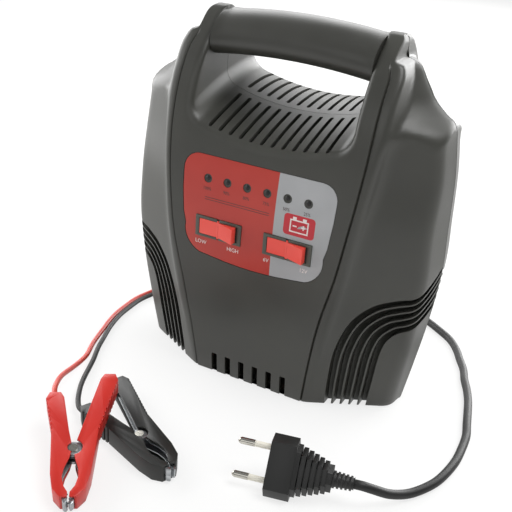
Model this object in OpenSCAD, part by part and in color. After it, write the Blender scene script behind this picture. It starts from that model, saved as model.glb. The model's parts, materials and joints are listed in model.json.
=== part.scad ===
// Car battery charger with handle, twin output leads with clamps and a mains lead.
// Millimetres, +Z up, front towards -Y, origin on the base under the middle of the case.

/* [Case] */
// Half of the case width at its widest, on the split line
case_half_w = 105; // [99.5:0.5:110]
// Height of the top of the two handle hoops
case_h = 234; // [226:1:242]
// Depth of each half shell at the middle of the panel
half_depth = 52; // [49:0.5:56]
// Extra depth of the rear half shell
rear_extra = 2; // [0:0.5:3]
// Wall of the two shells
wall = 2.5; // [2:0.1:3]
// Half width of the front panel at the base
panel_half_w = 39; // [34:0.5:42]
// Angle at which the side wings sweep back
wing_sweep = 28.5; // [24:0.5:32]
// Draft of the side faces
side_draft = 9; // [6:0.5:12]
// Width of the groove round the front panel
groove_w = 1.2; // [0.8:0.1:2]
// Depth of the groove round the front panel
groove_d = 2; // [1:0.1:2.2]

/* [Handle] */
// Half width of the hand opening between the hoops
hand_half_w = 52; // [48:0.5:54]
// Thickness of each hoop
hoop_t = 11.5; // [10:0.5:13]
// Height of the saddle at the seam under the handle
saddle_z = 178; // [172:1:180]
// Rise of the saddle from the seam to its crest in the rear half
crest_rise = 3.5; // [1:0.5:4]
// Distance of that crest behind the seam
crest_y = 30; // [28:1:34]
// Radius of the saddle across the case
saddle_r = 150; // [120:5:220]
// Drop from the top of the hoops to the grip bar's underside at its ends
grip_drop = 27.5; // [26:0.5:30]
// Height of the grip bar's section
grip_h = 25.5; // [22:0.5:26]
// Depth of the grip bar's section
grip_d = 47; // [36:1:50]
// Rise of the grip bar's arch
grip_rise = 3.5; // [2:0.5:5]

/* [Vents] */
// Number of slots in each half of the saddle
slot_count = 12; // [8:1:12]
// Pitch of the saddle slots
slot_pitch = 7; // [6:0.1:7.4]
// Width of the saddle slots
slot_w = 2.4; // [1.6:0.1:3]
// Number of notches in the bottom edge
notch_count = 6; // [2:1:6]
// Pitch of the notches
notch_pitch = 10.2; // [8:0.1:11]
// Width of the notches
notch_w = 4.1; // [3:0.1:5]
// Height of the notches
notch_h = 15.2; // [8:0.2:18]
// Channels in the vent band on each wing
channel_count = 5; // [3:1:5]
// Thickness of the fins between the channels
fin_t = 1; // [0.8:0.1:1.4]
// Depth of the channels
channel_d = 6; // [4:0.5:6.5]

/* [Controls] */
// Thickness of the panel label
label_t = 0.4; // [0.3:0.05:0.6]
// Height of the row of indicators
led_z = 140; // [136:0.5:143]
// Pitch of the indicators
led_pitch = 13.4; // [11:0.1:14]
// Diameter of the indicators
led_d = 5; // [3:0.5:5]
// Height of the rocker switches
switch_z = 109; // [106:0.5:112]
// Distance of each switch from the middle
switch_x = 23.5; // [22:0.5:25]
// Length of a switch bezel
bezel_l = 31.7; // [31:0.1:33]
// Height of a switch bezel
bezel_h = 13.6; // [13:0.1:15]
// Travel of each rocker from one side to the other
rocker_travel = 20; // [12:1:22]

/* [Screws] */
// Diameter of the case screws
screw_d = 4; // [3:0.5:4.5]
// Length of the case screws
screw_l = 24; // [20:1:28]
// Diameter of the board and bracket screws
small_screw_d = 3; // [2.5:0.5:3]

/* [Transformer] */
// Width of the laminated core
core_w = 66; // [60:1:70]
// Height of the laminated core
core_h = 55; // [50:1:60]
// Stack of the laminations
core_stack = 30; // [24:1:32]

/* [Leads] */
// Diameter of the mains lead
mains_d = 5.4; // [5:0.1:6]
// Diameter of each output lead
lead_d = 3.3; // [3:0.1:3.6]
// Length of the mains strain relief outside the case
mains_relief = 36; // [26:1:40]
// Length of the output lead grommet outside the case
lead_relief = 22; // [18:1:26]

/* [Plug] */
// Width of the plug
plug_w = 35.3; // [34:0.1:36]
// Thickness of the plug
plug_t = 13.7; // [13:0.1:14.5]
// Spacing of the plug pins
pin_pitch = 18.6; // [18:0.1:19]
// Diameter of the plug pins
pin_d = 4; // [3.9:0.05:4.1]
// Length of the plug pins
pin_l = 19; // [18:0.5:20]
// Length of the sleeves on the pins
sleeve_l = 10; // [8:0.5:11]

/* [Clamps] */
// Length of a clamp in front of its pivot
jaw_l = 36; // [34:1:40]
// Length of the free handle behind the pivot
handle_l = 56; // [52:1:60]
// Length of the cable handle behind the pivot
cable_handle_l = 41; // [40:1:42]
// Thickness of a clamp across its arms
clamp_t = 11; // [10.8:0.1:11.2]
// Wall of the clamp covers
cover_t = 1.2; // [1:0.1:1.4]
// Sheet of the clamp jaws
sheet_t = 0.9; // [0.8:0.1:1]
// Diameter of the clamp rivets
rivet_d = 3.2; // [3:0.1:3.6]
// Wire of the clamp springs
spring_wire = 1; // [0.8:0.1:1]

/* [Hidden] */
$fn = 48;

// Colours
shell_grey = "#45453f";
label_red = "#b5392f";
rocker_red = "#e84a40";
flex_black = "#2a2a28";
clamp_red = "#d3271b";
clamp_black = "#2b2d2a";
lead_red = "#c8352b";
steel = "#9a9c9e";
nickel = "#c9c7c0";
copper = "#b06a3a";
board_green = "#2f6b3c";
nylon = "#e8e4d8";
dark_plastic = "#1d1d1c";

// Small clearances
fit = 0.05;
gap = 0.3;

// Smooth curve through a few points, with n steps between neighbours
function curve_at(a, b, c, d, t) =
    0.5 * (2 * b + (c - a) * t + (2 * a - 5 * b + 4 * c - d) * t * t + (3 * b - a - 3 * c + d) * t * t * t);
function smooth(p, n = 2) = concat(
    [for (i = [0 : len(p) - 2]) for (k = [0 : n - 1])
        curve_at(p[max(i - 1, 0)], p[i], p[i + 1], p[min(i + 2, len(p) - 1)], k / n)],
    [p[len(p) - 1]]);
function shift(p, d) = [for (q = p) q + d];
function mirror_x(p) = [for (i = [len(p) - 1 : -1 : 0]) [-p[i][0], p[i][1]]];
function arc(c, r, a0, a1, n = 6) =
    [for (i = [0 : n]) c + r * [cos(a0 + (a1 - a0) * i / n), sin(a0 + (a1 - a0) * i / n)]];

// Extrusions of flat outlines: along Y from an XZ outline, along X from a YZ outline
module along_y(y0, y1) {
    translate([0, y1, 0]) rotate([90, 0, 0]) linear_extrude(y1 - y0) children();
}
module along_x(x0, x1) {
    translate([x0, 0, 0]) rotate([90, 0, 90]) linear_extrude(x1 - x0) children();
}

// ---- Shape of the case ----
far = 90;
low = -12;
hoop_x = hand_half_w + hoop_t;
grip_z = case_h - grip_drop;
crease_x = case_half_w - 8;
shoulder_x = case_half_w - 10;
shoulder_z = 192;
top_tilt = 47;
dome_h = 20;
dome_d = 31;
dome_sweep = 20;

// Right edge of the case on the split line, from the base up round the shoulder
side_curve = concat(
    smooth([[case_half_w - 12, 0], [case_half_w - 7.5, 28], [case_half_w - 3, 60], [case_half_w, 95],
        [case_half_w - 1, 124], [case_half_w - 2.2, 156], [case_half_w - 5.2, 180]]),
    [[case_half_w - 6.6, 186.5], [case_half_w - 8.7, 190], [case_half_w - 12.3, 192.3]],
    [[case_half_w - 18.3, 197.3], [case_half_w - 21.9, 201.2], [case_half_w - 25.1, 206.4]],
    [[case_half_w - 28.4, 211.5], [case_half_w - 31, 216], [case_half_w - 34.9, 219.5]]);
// Right edge of the raised lip beside the panel
lip_side = smooth([[panel_half_w + 5, 0], [panel_half_w + 10.5, 33], [panel_half_w + 17, 66],
    [panel_half_w + 23, 99], [hoop_x + 2.7, 132], [hoop_x + 5.5, 155], [hoop_x + 7.8, 180]]);
lip_curve = concat(lip_side, [[hoop_x + 8.6, 195], [hoop_x + 8.3, 209], [hoop_x + 7.2, 216],
    [hoop_x + 4.5, 220.5], [hoop_x, 222], [hoop_x - 4, 222]]);
rear_lip_curve = concat(lip_side, [[hoop_x + 7.6, 190], [hoop_x + 5.6, 199], [hoop_x + 3, 207],
    [hoop_x, 213], [hoop_x - 4, 213]]);
// Right edge of the panel and the hoop above it
panel_curve = concat(
    smooth([[panel_half_w, 0], [panel_half_w + 3.8, 33], [panel_half_w + 9, 66], [panel_half_w + 16.3, 99],
        [hoop_x - 3.6, 132], [hoop_x - 1.2, 155], [hoop_x, 180]]),
    [[hoop_x, case_h - 4], [hoop_x - 1.2, case_h - 1.2], [hoop_x - 4, case_h]]);
// Front surface of the panel and hoops, from the base to the top of the arch
front_curve = smooth([[-half_depth + 9, 0], [-half_depth + 5.5, 30], [-half_depth + 2, 60], [-half_depth, 95],
    [-half_depth + 0.3, 122], [-half_depth + 3, 150], [-half_depth + 8, 176], [-half_depth + 14.5, 196],
    [-half_depth + 24, 212], [-half_depth + 36, 225], [-half_depth + 46, case_h - 1.2], [0, case_h]]);
// Front surface of the wings, at the crease
wing_curve = smooth([[-half_depth + 40, 0], [-half_depth + 33.9, 31], [-half_depth + 28.3, 64],
    [-half_depth + 25, 96], [-half_depth + 25.5, 129], [-half_depth + 31, 165], [-half_depth + 34, 225]]);

// Outline across the case: one edge curve and its mirror image, shrunk by t
module outline(edge, t) {
    right = shift(edge, [-t, -t]);
    top = right[len(right) - 1][1];
    polygon(concat([[edge[0][0] - t, low]], right, [[0, top]], mirror_x(right), [[t - edge[0][0], low]]));
}

// The front half faces 1 and the rear half, drawn with its back towards -Y, faces -1
function deeper(facing) = facing > 0 ? 0 : rear_extra;

// Everything behind the front surface of the panel and hoops
module panel_sweep(t, facing = 1) {
    face = shift(front_curve, [t - deeper(facing), -t]);
    along_x(-140, 140)
        polygon(concat([[far, low], [face[0][0], low]], face, [[far, face[len(face) - 1][1]]]));
}

module panel_block(t, facing) {
    intersection() {
        along_y(-far, far) outline(panel_curve, t);
        panel_sweep(t, facing);
    }
}

module lip_block(t, facing) {
    intersection() {
        along_y(-far, far) outline(facing > 0 ? lip_curve : rear_lip_curve, t);
        panel_sweep(t + 1.5, facing);
    }
}

module wing_side(t) {
    edge = concat([[side_curve[0][0], low]], shift(side_curve, [-t, -t]));
    inner = concat([for (q = lip_side) if (q[1] < 181) q - [3, 0]], [[hoop_x - 2, 190], [hoop_x - 2, 220]]);
    back = [for (i = [len(inner) - 1 : -1 : 0]) inner[i]];
    ring = concat(edge, back, [[back[len(back) - 1][0], low]]);
    rotate([0, 0, -side_draft]) along_y(-far, far) polygon([for (q = ring) [q[0] * cos(side_draft), q[1]]]);
}

module wing_front(t, facing) {
    face = [for (q = shift(wing_curve, [t - deeper(facing), 0])) [q[0] * cos(wing_sweep), q[1]]];
    translate([crease_x, 0, 0]) rotate([0, 0, wing_sweep]) along_x(-140, 40)
        polygon(concat([[far, low], [face[0][0], low]], face, [[far, 225]]));
}

module dome_cut(t) {
    rim = [for (a = [0 : 15 : 90]) [-dome_d * pow(cos(a), 1.5), dome_h * pow(sin(a), 1.5) - dome_h]];
    translate([shoulder_x - t, 0, shoulder_z - t]) rotate([0, top_tilt, 0]) rotate([0, 0, dome_sweep])
        along_x(-70, 60) translate([t, 0])
            polygon(concat([[-far, -dome_h], [-dome_d, -dome_h]], rim, [[far, 0], [far, 60], [-far, 60]]));
}

module wing_right(t, facing) {
    difference() {
        intersection() {
            wing_side(t);
            wing_front(t, facing);
            panel_sweep(t + 2.2, facing);
        }
        dome_cut(t);
    }
}

module both_sides() {
    children();
    mirror([1, 0, 0]) children();
}

module case_block(t, facing) {
    both_sides() wing_right(t, facing);
    lip_block(t, facing);
    panel_block(t, facing);
}

// Hand opening with its saddle floor, grown by t; the floor humps over its crest in the rear half
function saddle_drop(y) = crest_rise * (pow(abs(y - crest_y) / crest_y, 1.7) - 1);
module hand_opening(t, facing) {
    fall = [for (y = [-60 : 7.5 : 60]) [saddle_r + t + saddle_drop(facing * y), y]];
    intersection() {
        translate([-hand_half_w - t, -far, 100]) cube([2 * (hand_half_w + t), 2 * far, 200]);
        translate([0, 0, saddle_z + saddle_r]) rotate([-90, 0, 0]) rotate_extrude($fn = 180)
            polygon(concat([[0, -60]], fall, [[0, 60]]));
    }
}

// ---- Vent band on each wing ----
band_from = panel_half_w + 5;
function band_edge(shares) = smooth([for (q = shares) [band_from + q[0] * (case_half_w - band_from), q[1]]]);
band_inner = band_edge([[0.134, -2], [0.16, 22], [0.21, 46], [0.336, 68], [0.521, 80.5], [0.723, 85.5],
    [0.874, 87.2], [0.946, 91], [0.995, 100], [1.025, 110]]);
band_outer = band_edge([[0.538, -2], [0.588, 22], [0.63, 42], [0.681, 54], [0.773, 60.6], [0.866, 62.6],
    [0.924, 65.2], [0.968, 71], [1.008, 82], [1.042, 94]]);

// Strip of the band between two fractions of its width, widened by g at both edges
module band_strip(f0, f1, g) {
    n = len(band_inner);
    a = [for (i = [0 : n - 1]) band_inner[i] * (1 - f0) + band_outer[i] * f0];
    b = [for (i = [0 : n - 1]) band_inner[i] * (1 - f1) + band_outer[i] * f1];
    across = [for (i = [0 : n - 1]) (b[i] - a[i]) / max(norm(b[i] - a[i]), 0.1)];
    polygon(concat([for (i = [0 : n - 1]) a[i] - across[i] * g],
        [for (i = [n - 1 : -1 : 0]) b[i] + across[i] * g]));
}

module channels() {
    for (i = [0 : channel_count - 1])
        along_y(-far, -0.8) band_strip(i / channel_count, (i + 1) / channel_count, -fin_t / 2);
}

// ---- Screw places ----
screw_places = [[-86.8, 36], [86.8, 36], [-82, 148], [82, 148]];
boss_r = screw_d / 2 + 2;
head_r = screw_d;
head_t = 2.5;
screw_seat = 10;

// ---- One half of the case, with its front towards -Y ----
module half_space() {
    translate([-200, -far, 0]) cube([400, far, 260]);
}

// Walls round a hollow, with the channel floors left in
module half_walls(facing) {
    difference() {
        intersection() {
            case_block(0, facing);
            half_space();
        }
        hand_opening(0, facing);
        difference() {
            intersection() {
                case_block(wall, facing);
                translate([-200, -far, wall]) cube([400, 2 * far, 260]);
            }
            hand_opening(wall, facing);
            both_sides() difference() {
                along_y(-far, 0) band_strip(0, 1, wall);
                wing_right(channel_d + wall, facing);
            }
        }
    }
}

module groove_cut(facing) {
    outer = shift(panel_curve, [groove_w / 2, 0]);
    inner = shift(panel_curve, [-groove_w / 2, 0]);
    last = len(panel_curve) - 4;
    back = [for (i = [last : -1 : 0]) inner[i]];
    both_sides() difference() {
        along_y(-far, -2) polygon(concat([[outer[0][0], low]], [for (i = [0 : last]) outer[i]], back,
            [[inner[0][0], low]]));
        panel_sweep(groove_d, facing);
    }
}

module slot_cuts(facing) {
    reach = slot_reach - slot_short * (1 - facing) / 2;
    for (i = [0 : slot_count - 1])
        translate([(i - (slot_count - 1) / 2) * slot_pitch - slot_w / 2, -reach, 156])
            cube([slot_w, reach - slot_start, 50]);
}

module notch_cuts() {
    for (i = [0 : notch_count - 1])
        translate([(i - (notch_count - 1) / 2) * notch_pitch - notch_w / 2, -far, -1])
            cube([notch_w, far - half_depth + 16, notch_h + 1]);
}

module channel_cuts(facing) {
    both_sides() difference() {
        channels();
        wing_right(channel_d, facing);
    }
}

module vented_half(facing) {
    difference() {
        half_walls(facing);
        groove_cut(facing);
        slot_cuts(facing);
        notch_cuts();
        channel_cuts(facing);
        tenon_cuts();
    }
}

slot_start = 4.7;
slot_reach = 43;
slot_short = 2.5;

// ---- Grip bar between the hoops ----
tenon_l = 8;
tenon_w = 20;
tenon_h = 10;
tenon_z = grip_z + 7;
arch_r = (hand_half_w * hand_half_w + grip_rise * grip_rise) / (2 * grip_rise);

module tenon_cuts() {
    translate([-hand_half_w - tenon_l - gap, -tenon_w / 2 - fit, tenon_z - fit])
        cube([2 * (hand_half_w + tenon_l + gap), tenon_w + 2 * fit, tenon_h + 2 * fit]);
}

module handle_grip() {
    belly = 9;
    half = grip_d / 2;
    dome = [for (a = [0 : 15 : 180]) [arch_r + belly + (grip_h - belly) * sin(a), half * cos(a)]];
    color(shell_grey) {
        intersection() {
            translate([0, 0, grip_z + grip_rise - arch_r]) rotate([90, 0, 0]) rotate([0, 0, 80])
                rotate_extrude(angle = 20, $fn = 360)
                    polygon(concat(dome, [[arch_r, -half / 2], [arch_r, half / 2]]));
            translate([-hand_half_w, -far, 150]) cube([2 * hand_half_w, 2 * far, 150]);
        }
        for (side = [-1, 1])
            translate([side * (hand_half_w + tenon_l / 2 - 1), 0, tenon_z + tenon_h / 2])
                cube([tenon_l + 2, tenon_w, tenon_h], center = true);
    }
}

// ---- Controls on the panel ----
label_top = 154;
label_low = 91;
bezel_t = 1.4;
bezel_y = -half_depth + 0.6;
housing_l = bezel_l - 2.9;
housing_h = bezel_h - 2;
housing_d = 15;
housing_wall = 0.9;
window_l = housing_l - 2 * housing_wall;
window_h = housing_h - 1.2;
pivot_in = 1;
pivot_r = 1.2;
led_tip = -half_depth + 1.7;
led_l = 8.6;
board_y = led_tip + led_l;
board_t = 1.6;
board_w = 94;
board_low = 126;
board_top = 154;
board_posts = [[-41, 132], [41, 132], [-41, 149], [41, 149]];

module led_places() {
    for (i = [0 : 5])
        translate([(i - 2.5) * led_pitch, 0, led_z]) children();
}

module switch_places() {
    for (side = [-1, 1])
        translate([side * switch_x, 0, switch_z]) children();
}

module bar_y(r, y0, y1) {
    translate([0, y1, 0]) rotate([90, 0, 0]) cylinder(r = r, h = y1 - y0);
}

module label_outline() {
    polygon(concat(
        arc([40.6, label_top - 10], 10, 0, 90),
        arc([-40.6, label_top - 10], 10, 90, 180),
        [[-50.2, 132], [-48.6, 116]],
        arc([-31, label_low + 15], 16, 170, 250),
        [[-18, label_low - 2.2], [0, label_low - 3], [18, label_low - 2.2]],
        arc([31, label_low + 15], 16, 290, 370),
        [[48.6, 116], [50.2, 132]]));
}

module control_label() {
    color(label_red) difference() {
        intersection() {
            along_y(-far, 0) label_outline();
            difference() {
                panel_sweep(-label_t);
                panel_sweep(0);
            }
        }
        led_places() bar_y(led_d / 2 + 0.2, -far, 0);
        switch_places() translate([0, -half_depth, 0])
            cube([bezel_l + 0.3, 10, bezel_h + 0.3], center = true);
    }
}

module indicator_leds() {
    r = led_d / 2;
    color("#5a1c18") led_places() {
        bar_y(r, led_tip + r, board_y);
        translate([0, led_tip + r, 0]) sphere(r = r);
        bar_y(r + 0.4, board_y - 1, board_y);
    }
}

module display_board() {
    color(board_green) difference() {
        translate([-board_w / 2, board_y, board_low]) cube([board_w, board_t, board_top - board_low]);
        for (p = board_posts)
            translate([p[0], 0, p[1]]) bar_y(small_screw_d / 2 + fit, -far, 0);
    }
}

module board_components() {
    back = board_y + board_t;
    color(dark_plastic) {
        translate([-6, back, 134]) cube([16, 14, 12]);
        translate([-30, back, 136]) cube([10, 3.5, 7]);
        translate([22, back, 130]) cube([8, 5, 8]);
    }
    color("#2c4a78") for (p = [[-16, 146, 4], [20, 146, 5], [32, 136, 4]])
        translate([p[0], 0, p[1]]) bar_y(p[2], back, back + 12);
}

module screw_y(r, len, head) {
    bar_y(r, -len, 0);
    bar_y(2 * r, 0, head);
}

module board_screws() {
    r = small_screw_d / 2;
    color(steel) for (p = board_posts)
        translate([p[0], board_y + board_t, p[1]]) screw_y(r, 6, 1.8);
}

// Switch body with its bezel, open at the front, around the origin
module switch_housing() {
    color(dark_plastic) difference() {
        union() {
            translate([-bezel_l / 2, bezel_y - bezel_t, -bezel_h / 2]) cube([bezel_l, bezel_t, bezel_h]);
            translate([-housing_l / 2, bezel_y, -housing_h / 2]) cube([housing_l, housing_d, housing_h]);
        }
        translate([-window_l / 2, bezel_y - bezel_t - 1, -window_h / 2])
            cube([window_l, housing_d + bezel_t, window_h]);
        translate([0, pivot_y, 0]) cylinder(r = pivot_r + fit, h = housing_h + 2, center = true);
    }
}

pivot_y = bezel_y - bezel_t + pivot_in;

// Rocker pressed in at its left end, on stub pins in the housing's sides
module switch_rocker() {
    half = window_l / 2 - 0.8;
    wide = window_h - 0.5;
    paddle = [[-half, -3.2], [0, -1], [half, -3.2], [half - 0.6, 1.2], [3, 4.6], [-3, 4.6], [0.6 - half, 1.2]];
    color(rocker_red) translate([0, pivot_y, 0]) {
        rotate([0, 0, -rocker_travel / 2]) translate([0, 0, -wide / 2]) linear_extrude(wide) polygon(paddle);
        cylinder(r = pivot_r, h = housing_h, center = true);
    }
}

module current_switch_housing() {
    translate([-switch_x, 0, switch_z]) switch_housing();
}

module current_switch_rocker() {
    translate([-switch_x, 0, switch_z]) switch_rocker();
}

module voltage_switch_housing() {
    translate([switch_x, 0, switch_z]) switch_housing();
}

module voltage_switch_rocker() {
    translate([switch_x, 0, switch_z]) switch_rocker();
}

module switch_terminals() {
    color(copper) switch_places() for (k = [-1 : 1])
        translate([k * 8.5 - 0.4, bezel_y + housing_d, -3.15]) cube([0.8, 8, 6.3]);
}

// ---- Shells ----
sink_w = 90;
sink_low = 96;
sink_top = 144;
sink_y = 34;
sink_t = 2;
sink_posts = [[-36, 102], [36, 102], [-36, 138], [36, 138]];
gland_seat = half_depth + rear_extra - 8.5;
gland_z = 22;
gland_x = 32;
gland_r = 6.5;
flange_r = 9;
flange_t = 3;
gland_in = gland_seat - 4;
foot_y = 14;
foot_x = core_w / 2 + 8.5;
foot_z = 7;

module front_shell() {
    color(shell_grey) difference() {
        union() {
            vented_half(1);
            intersection() {
                union() {
                    for (p = board_posts)
                        translate([p[0], 0, p[1]]) bar_y(3.2, -far, board_y);
                    for (p = screw_places)
                        translate([p[0], 0, p[1]]) bar_y(boss_r, -far, 0);
                }
                case_block(wall / 2, 1);
            }
        }
        for (p = board_posts)
            translate([p[0], 0, p[1]]) bar_y(small_screw_d / 2 + fit, board_y - 5, board_y + 1);
        for (p = screw_places)
            translate([p[0], 0, p[1]]) bar_y(screw_d / 2 + fit, screw_seat - screw_l - 2, 1);
        led_places() bar_y(led_d / 2 + 0.2, -far, led_tip + led_l - 2);
        switch_places() {
            translate([0, bezel_y - 5, 0]) cube([bezel_l + 0.3, 10, bezel_h + 0.3], center = true);
            translate([0, bezel_y, 0]) cube([housing_l + 0.2, 20, housing_h + 0.2], center = true);
        }
    }
}

module rear_shell() {
    color(shell_grey) difference() {
        union() {
            mirror([0, 1, 0]) vented_half(-1);
            intersection() {
                union() {
                    for (p = screw_places)
                        translate([p[0], 0, p[1]]) bar_y(head_r + 2.2, 0, far);
                    for (p = sink_posts)
                        translate([p[0], 0, p[1]]) bar_y(3.5, sink_y + sink_t, far);
                    for (side = [-1, 1]) {
                        translate([side * foot_x, foot_y, 0]) cylinder(r = 4.5, h = foot_z);
                        translate([side * gland_x, 0, gland_z]) bar_y(flange_r + 2, gland_in, far);
                    }
                }
                mirror([0, 1, 0]) case_block(0.6, -1);
                translate([-200, 0, 0]) cube([400, far, 260]);
            }
        }
        for (p = screw_places)
            translate([p[0], 0, p[1]]) {
                bar_y(screw_d / 2 + fit, -1, far);
                bar_y(head_r + 0.6, screw_seat, far);
            }
        for (p = sink_posts)
            translate([p[0], 0, p[1]]) bar_y(small_screw_d / 2 + fit, 0, sink_y + 10);
        for (side = [-1, 1]) {
            translate([side * foot_x, foot_y, foot_z - 5.5]) cylinder(r = small_screw_d / 2 + fit, h = 10);
            translate([side * gland_x, 0, gland_z]) {
                bar_y(gland_r + fit, 20, far);
                bar_y(flange_r + 0.2, gland_seat, far);
            }
        }
    }
}

module case_screws() {
    color(steel) for (p = screw_places)
        translate([p[0], screw_seat, p[1]]) screw_y(screw_d / 2, screw_l, head_t);
}

// ---- Transformer, standing on two feet of the rear shell ----
window_w = 11;
yoke = window_w / 2;
leg_w = core_w / 3;
core_win_h = core_h - 2 * window_w;
bobbin_t = 1;
bobbin_x = leg_w / 2 + window_w - 0.3;
bobbin_y = core_stack / 2 + window_w - 0.3;
strap_w = 20;
strap_t = 1.5;

module round_block(hx, hy, r, z0, z1) {
    translate([0, foot_y, z0]) linear_extrude(z1 - z0)
        polygon(concat(arc([hx - r, hy - r], r, 0, 90), arc([r - hx, hy - r], r, 90, 180),
            arc([r - hx, r - hy], r, 180, 270), arc([hx - r, r - hy], r, 270, 360)));
}

module transformer_core() {
    color("#6d6f72") translate([0, foot_y + core_stack / 2, foot_z]) rotate([90, 0, 0])
        linear_extrude(core_stack) difference() {
            translate([-core_w / 2, 0]) square([core_w, core_h]);
            for (side = [-1, 1])
                translate([side * (leg_w / 2 + window_w / 2) - window_w / 2, window_w])
                    square([window_w, core_win_h]);
        }
}

bobbin_low = foot_z + window_w;
bobbin_top = bobbin_low + core_win_h;
bobbin_mid = (bobbin_low + bobbin_top) / 2;

module transformer_bobbin() {
    color(nylon) difference() {
        union() {
            round_block(leg_w / 2 + bobbin_t, core_stack / 2 + bobbin_t, 1, bobbin_low, bobbin_top);
            for (z = [bobbin_low, bobbin_mid - bobbin_t / 2, bobbin_top - bobbin_t])
                round_block(bobbin_x, bobbin_y, 3, z, z + bobbin_t);
        }
        translate([-leg_w / 2, foot_y - core_stack / 2, 0]) cube([leg_w, core_stack, 80]);
    }
}

module winding(z0, z1) {
    color(copper) difference() {
        round_block(bobbin_x - 0.6, bobbin_y - 0.6, 4, z0, z1);
        round_block(leg_w / 2 + bobbin_t, core_stack / 2 + bobbin_t, 1, z0 - 1, z1 + 1);
    }
}

module primary_winding() {
    winding(bobbin_low + bobbin_t, bobbin_mid - bobbin_t / 2);
}

module secondary_winding() {
    winding(bobbin_mid + bobbin_t / 2, bobbin_top - bobbin_t);
}

module transformer_bracket() {
    half = core_w / 2;
    top = foot_z + core_h;
    color(steel) difference() {
        translate([0, foot_y + strap_w / 2, 0]) rotate([90, 0, 0]) linear_extrude(strap_w)
            polygon([[-half, top], [half, top], [half, foot_z], [foot_x + 5, foot_z],
                [foot_x + 5, foot_z + strap_t], [half + strap_t, foot_z + strap_t],
                [half + strap_t, top + strap_t], [-half - strap_t, top + strap_t],
                [-half - strap_t, foot_z + strap_t], [-foot_x - 5, foot_z + strap_t],
                [-foot_x - 5, foot_z], [-half, foot_z]]);
        for (side = [-1, 1])
            translate([side * foot_x, foot_y, 0]) cylinder(r = small_screw_d / 2 + fit, h = 20);
    }
}

module bracket_screws() {
    r = small_screw_d / 2;
    color(steel) for (side = [-1, 1])
        translate([side * foot_x, foot_y, foot_z + strap_t]) {
            translate([0, 0, -6]) cylinder(r = r, h = 6);
            cylinder(r = 2 * r, h = 1.8);
        }
}

// ---- Heat sink with the rectifier and the thermal breaker ----
bridge_w = 28;
bridge_x = -20;
bridge_z = 106;
breaker_x = 22;
breaker_z = 112;

module heat_sink() {
    color("#b9bcc0") difference() {
        union() {
            translate([-sink_w / 2, sink_y, sink_low]) cube([sink_w, sink_t, sink_top - sink_low]);
            translate([-sink_w / 2, sink_y - 10, sink_top - sink_t]) cube([sink_w, 11, sink_t]);
        }
        for (p = sink_posts)
            translate([p[0], 0, p[1]]) bar_y(small_screw_d / 2 + fit, 0, far);
    }
}

module sink_screws() {
    color(steel) for (p = sink_posts)
        translate([p[0], sink_y, p[1]]) mirror([0, 1, 0]) screw_y(small_screw_d / 2, 9, 1.8);
}

module bridge_rectifier() {
    color(dark_plastic) translate([bridge_x - bridge_w / 2, sink_y - 7, bridge_z])
        cube([bridge_w, 7, bridge_w]);
}

module thermal_breaker() {
    color("#7a2a20") translate([breaker_x - 8, sink_y - 6, breaker_z]) cube([16, 6, 12]);
}

// ---- Glands on the back ----
module relief(y0, y1, r0, r1) {
    ribs = 6;
    step = (y1 - y0) / (2 * ribs);
    edge = [for (i = [0 : 2 * ribs]) let (r = r0 + (r1 - r0) * i / (2 * ribs))
        each i % 2 == 0 ? [[r, i * step], [r, min(i + 1, 2 * ribs) * step]]
            : [[r - 0.8, i * step], [r - 0.8, (i + 1) * step]]];
    translate([0, y0, 0]) rotate([-90, 0, 0]) rotate_extrude() polygon(concat([[0, 0]], edge, [[0, y1 - y0]]));
}

module gland(len, r_end) {
    flange_y = gland_seat + flange_t;
    bar_y(gland_r, gland_in - 6, gland_seat);
    bar_y(flange_r, gland_seat, flange_y);
    relief(flange_y, flange_y + len, 6.2, r_end);
}

module mains_gland() {
    color(flex_black) translate([gland_x, 0, gland_z]) gland(mains_relief, 4);
}

module mains_gland_nut() {
    color(nylon) translate([gland_x, 0, gland_z]) difference() {
        translate([0, gland_in, 0]) rotate([90, 0, 0]) cylinder(r = 9.8, h = 5, $fn = 6);
        bar_y(gland_r + fit, 0, far);
    }
}

module lead_grommet() {
    color(flex_black) translate([-gland_x, 0, gland_z]) {
        gland(lead_relief, 4.6);
        bar_y(gland_r + 1.2, gland_in - 3, gland_in);
    }
}

// ---- Swept tubes ----
function unit(v) = v / norm(v);
function heading(p, i) = unit(p[min(i + 1, len(p) - 1)] - p[max(i - 1, 0)]);
function beside(p, d, up = [0, 0, 1]) = [for (i = [0 : len(p) - 1]) p[i] + d * unit(cross(heading(p, i), up))];

module tube(path, r, sides, up = [0, 0, 1]) {
    last = len(path) - 1;
    points = [for (i = [0 : last]) let (d = heading(path, i), s = unit(cross(d, up)), u = cross(s, d))
        for (k = [0 : sides - 1]) let (a = 360 * k / sides) path[i] + r * (cos(a) * s + sin(a) * u)];
    walls = [for (i = [0 : last - 1]) for (k = [0 : sides - 1]) let (a = i * sides + k,
        b = i * sides + (k + 1) % sides) each [[a, a + sides, b + sides], [a, b + sides, b]]];
    polyhedron(concat(points), concat(walls, [[for (k = [0 : sides - 1]) k]],
        [[for (k = [sides - 1 : -1 : 0]) last * sides + k]]));
}

// Thin wire that leaves and meets its ends square
module wire(points, up = [0.3, 0.9, 0.2]) {
    last = len(points) - 1;
    middle = smooth([for (i = [1 : last - 1]) points[i]]);
    tube(concat([points[0]], middle, [points[last]]), 0.9, 6, up);
}

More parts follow.
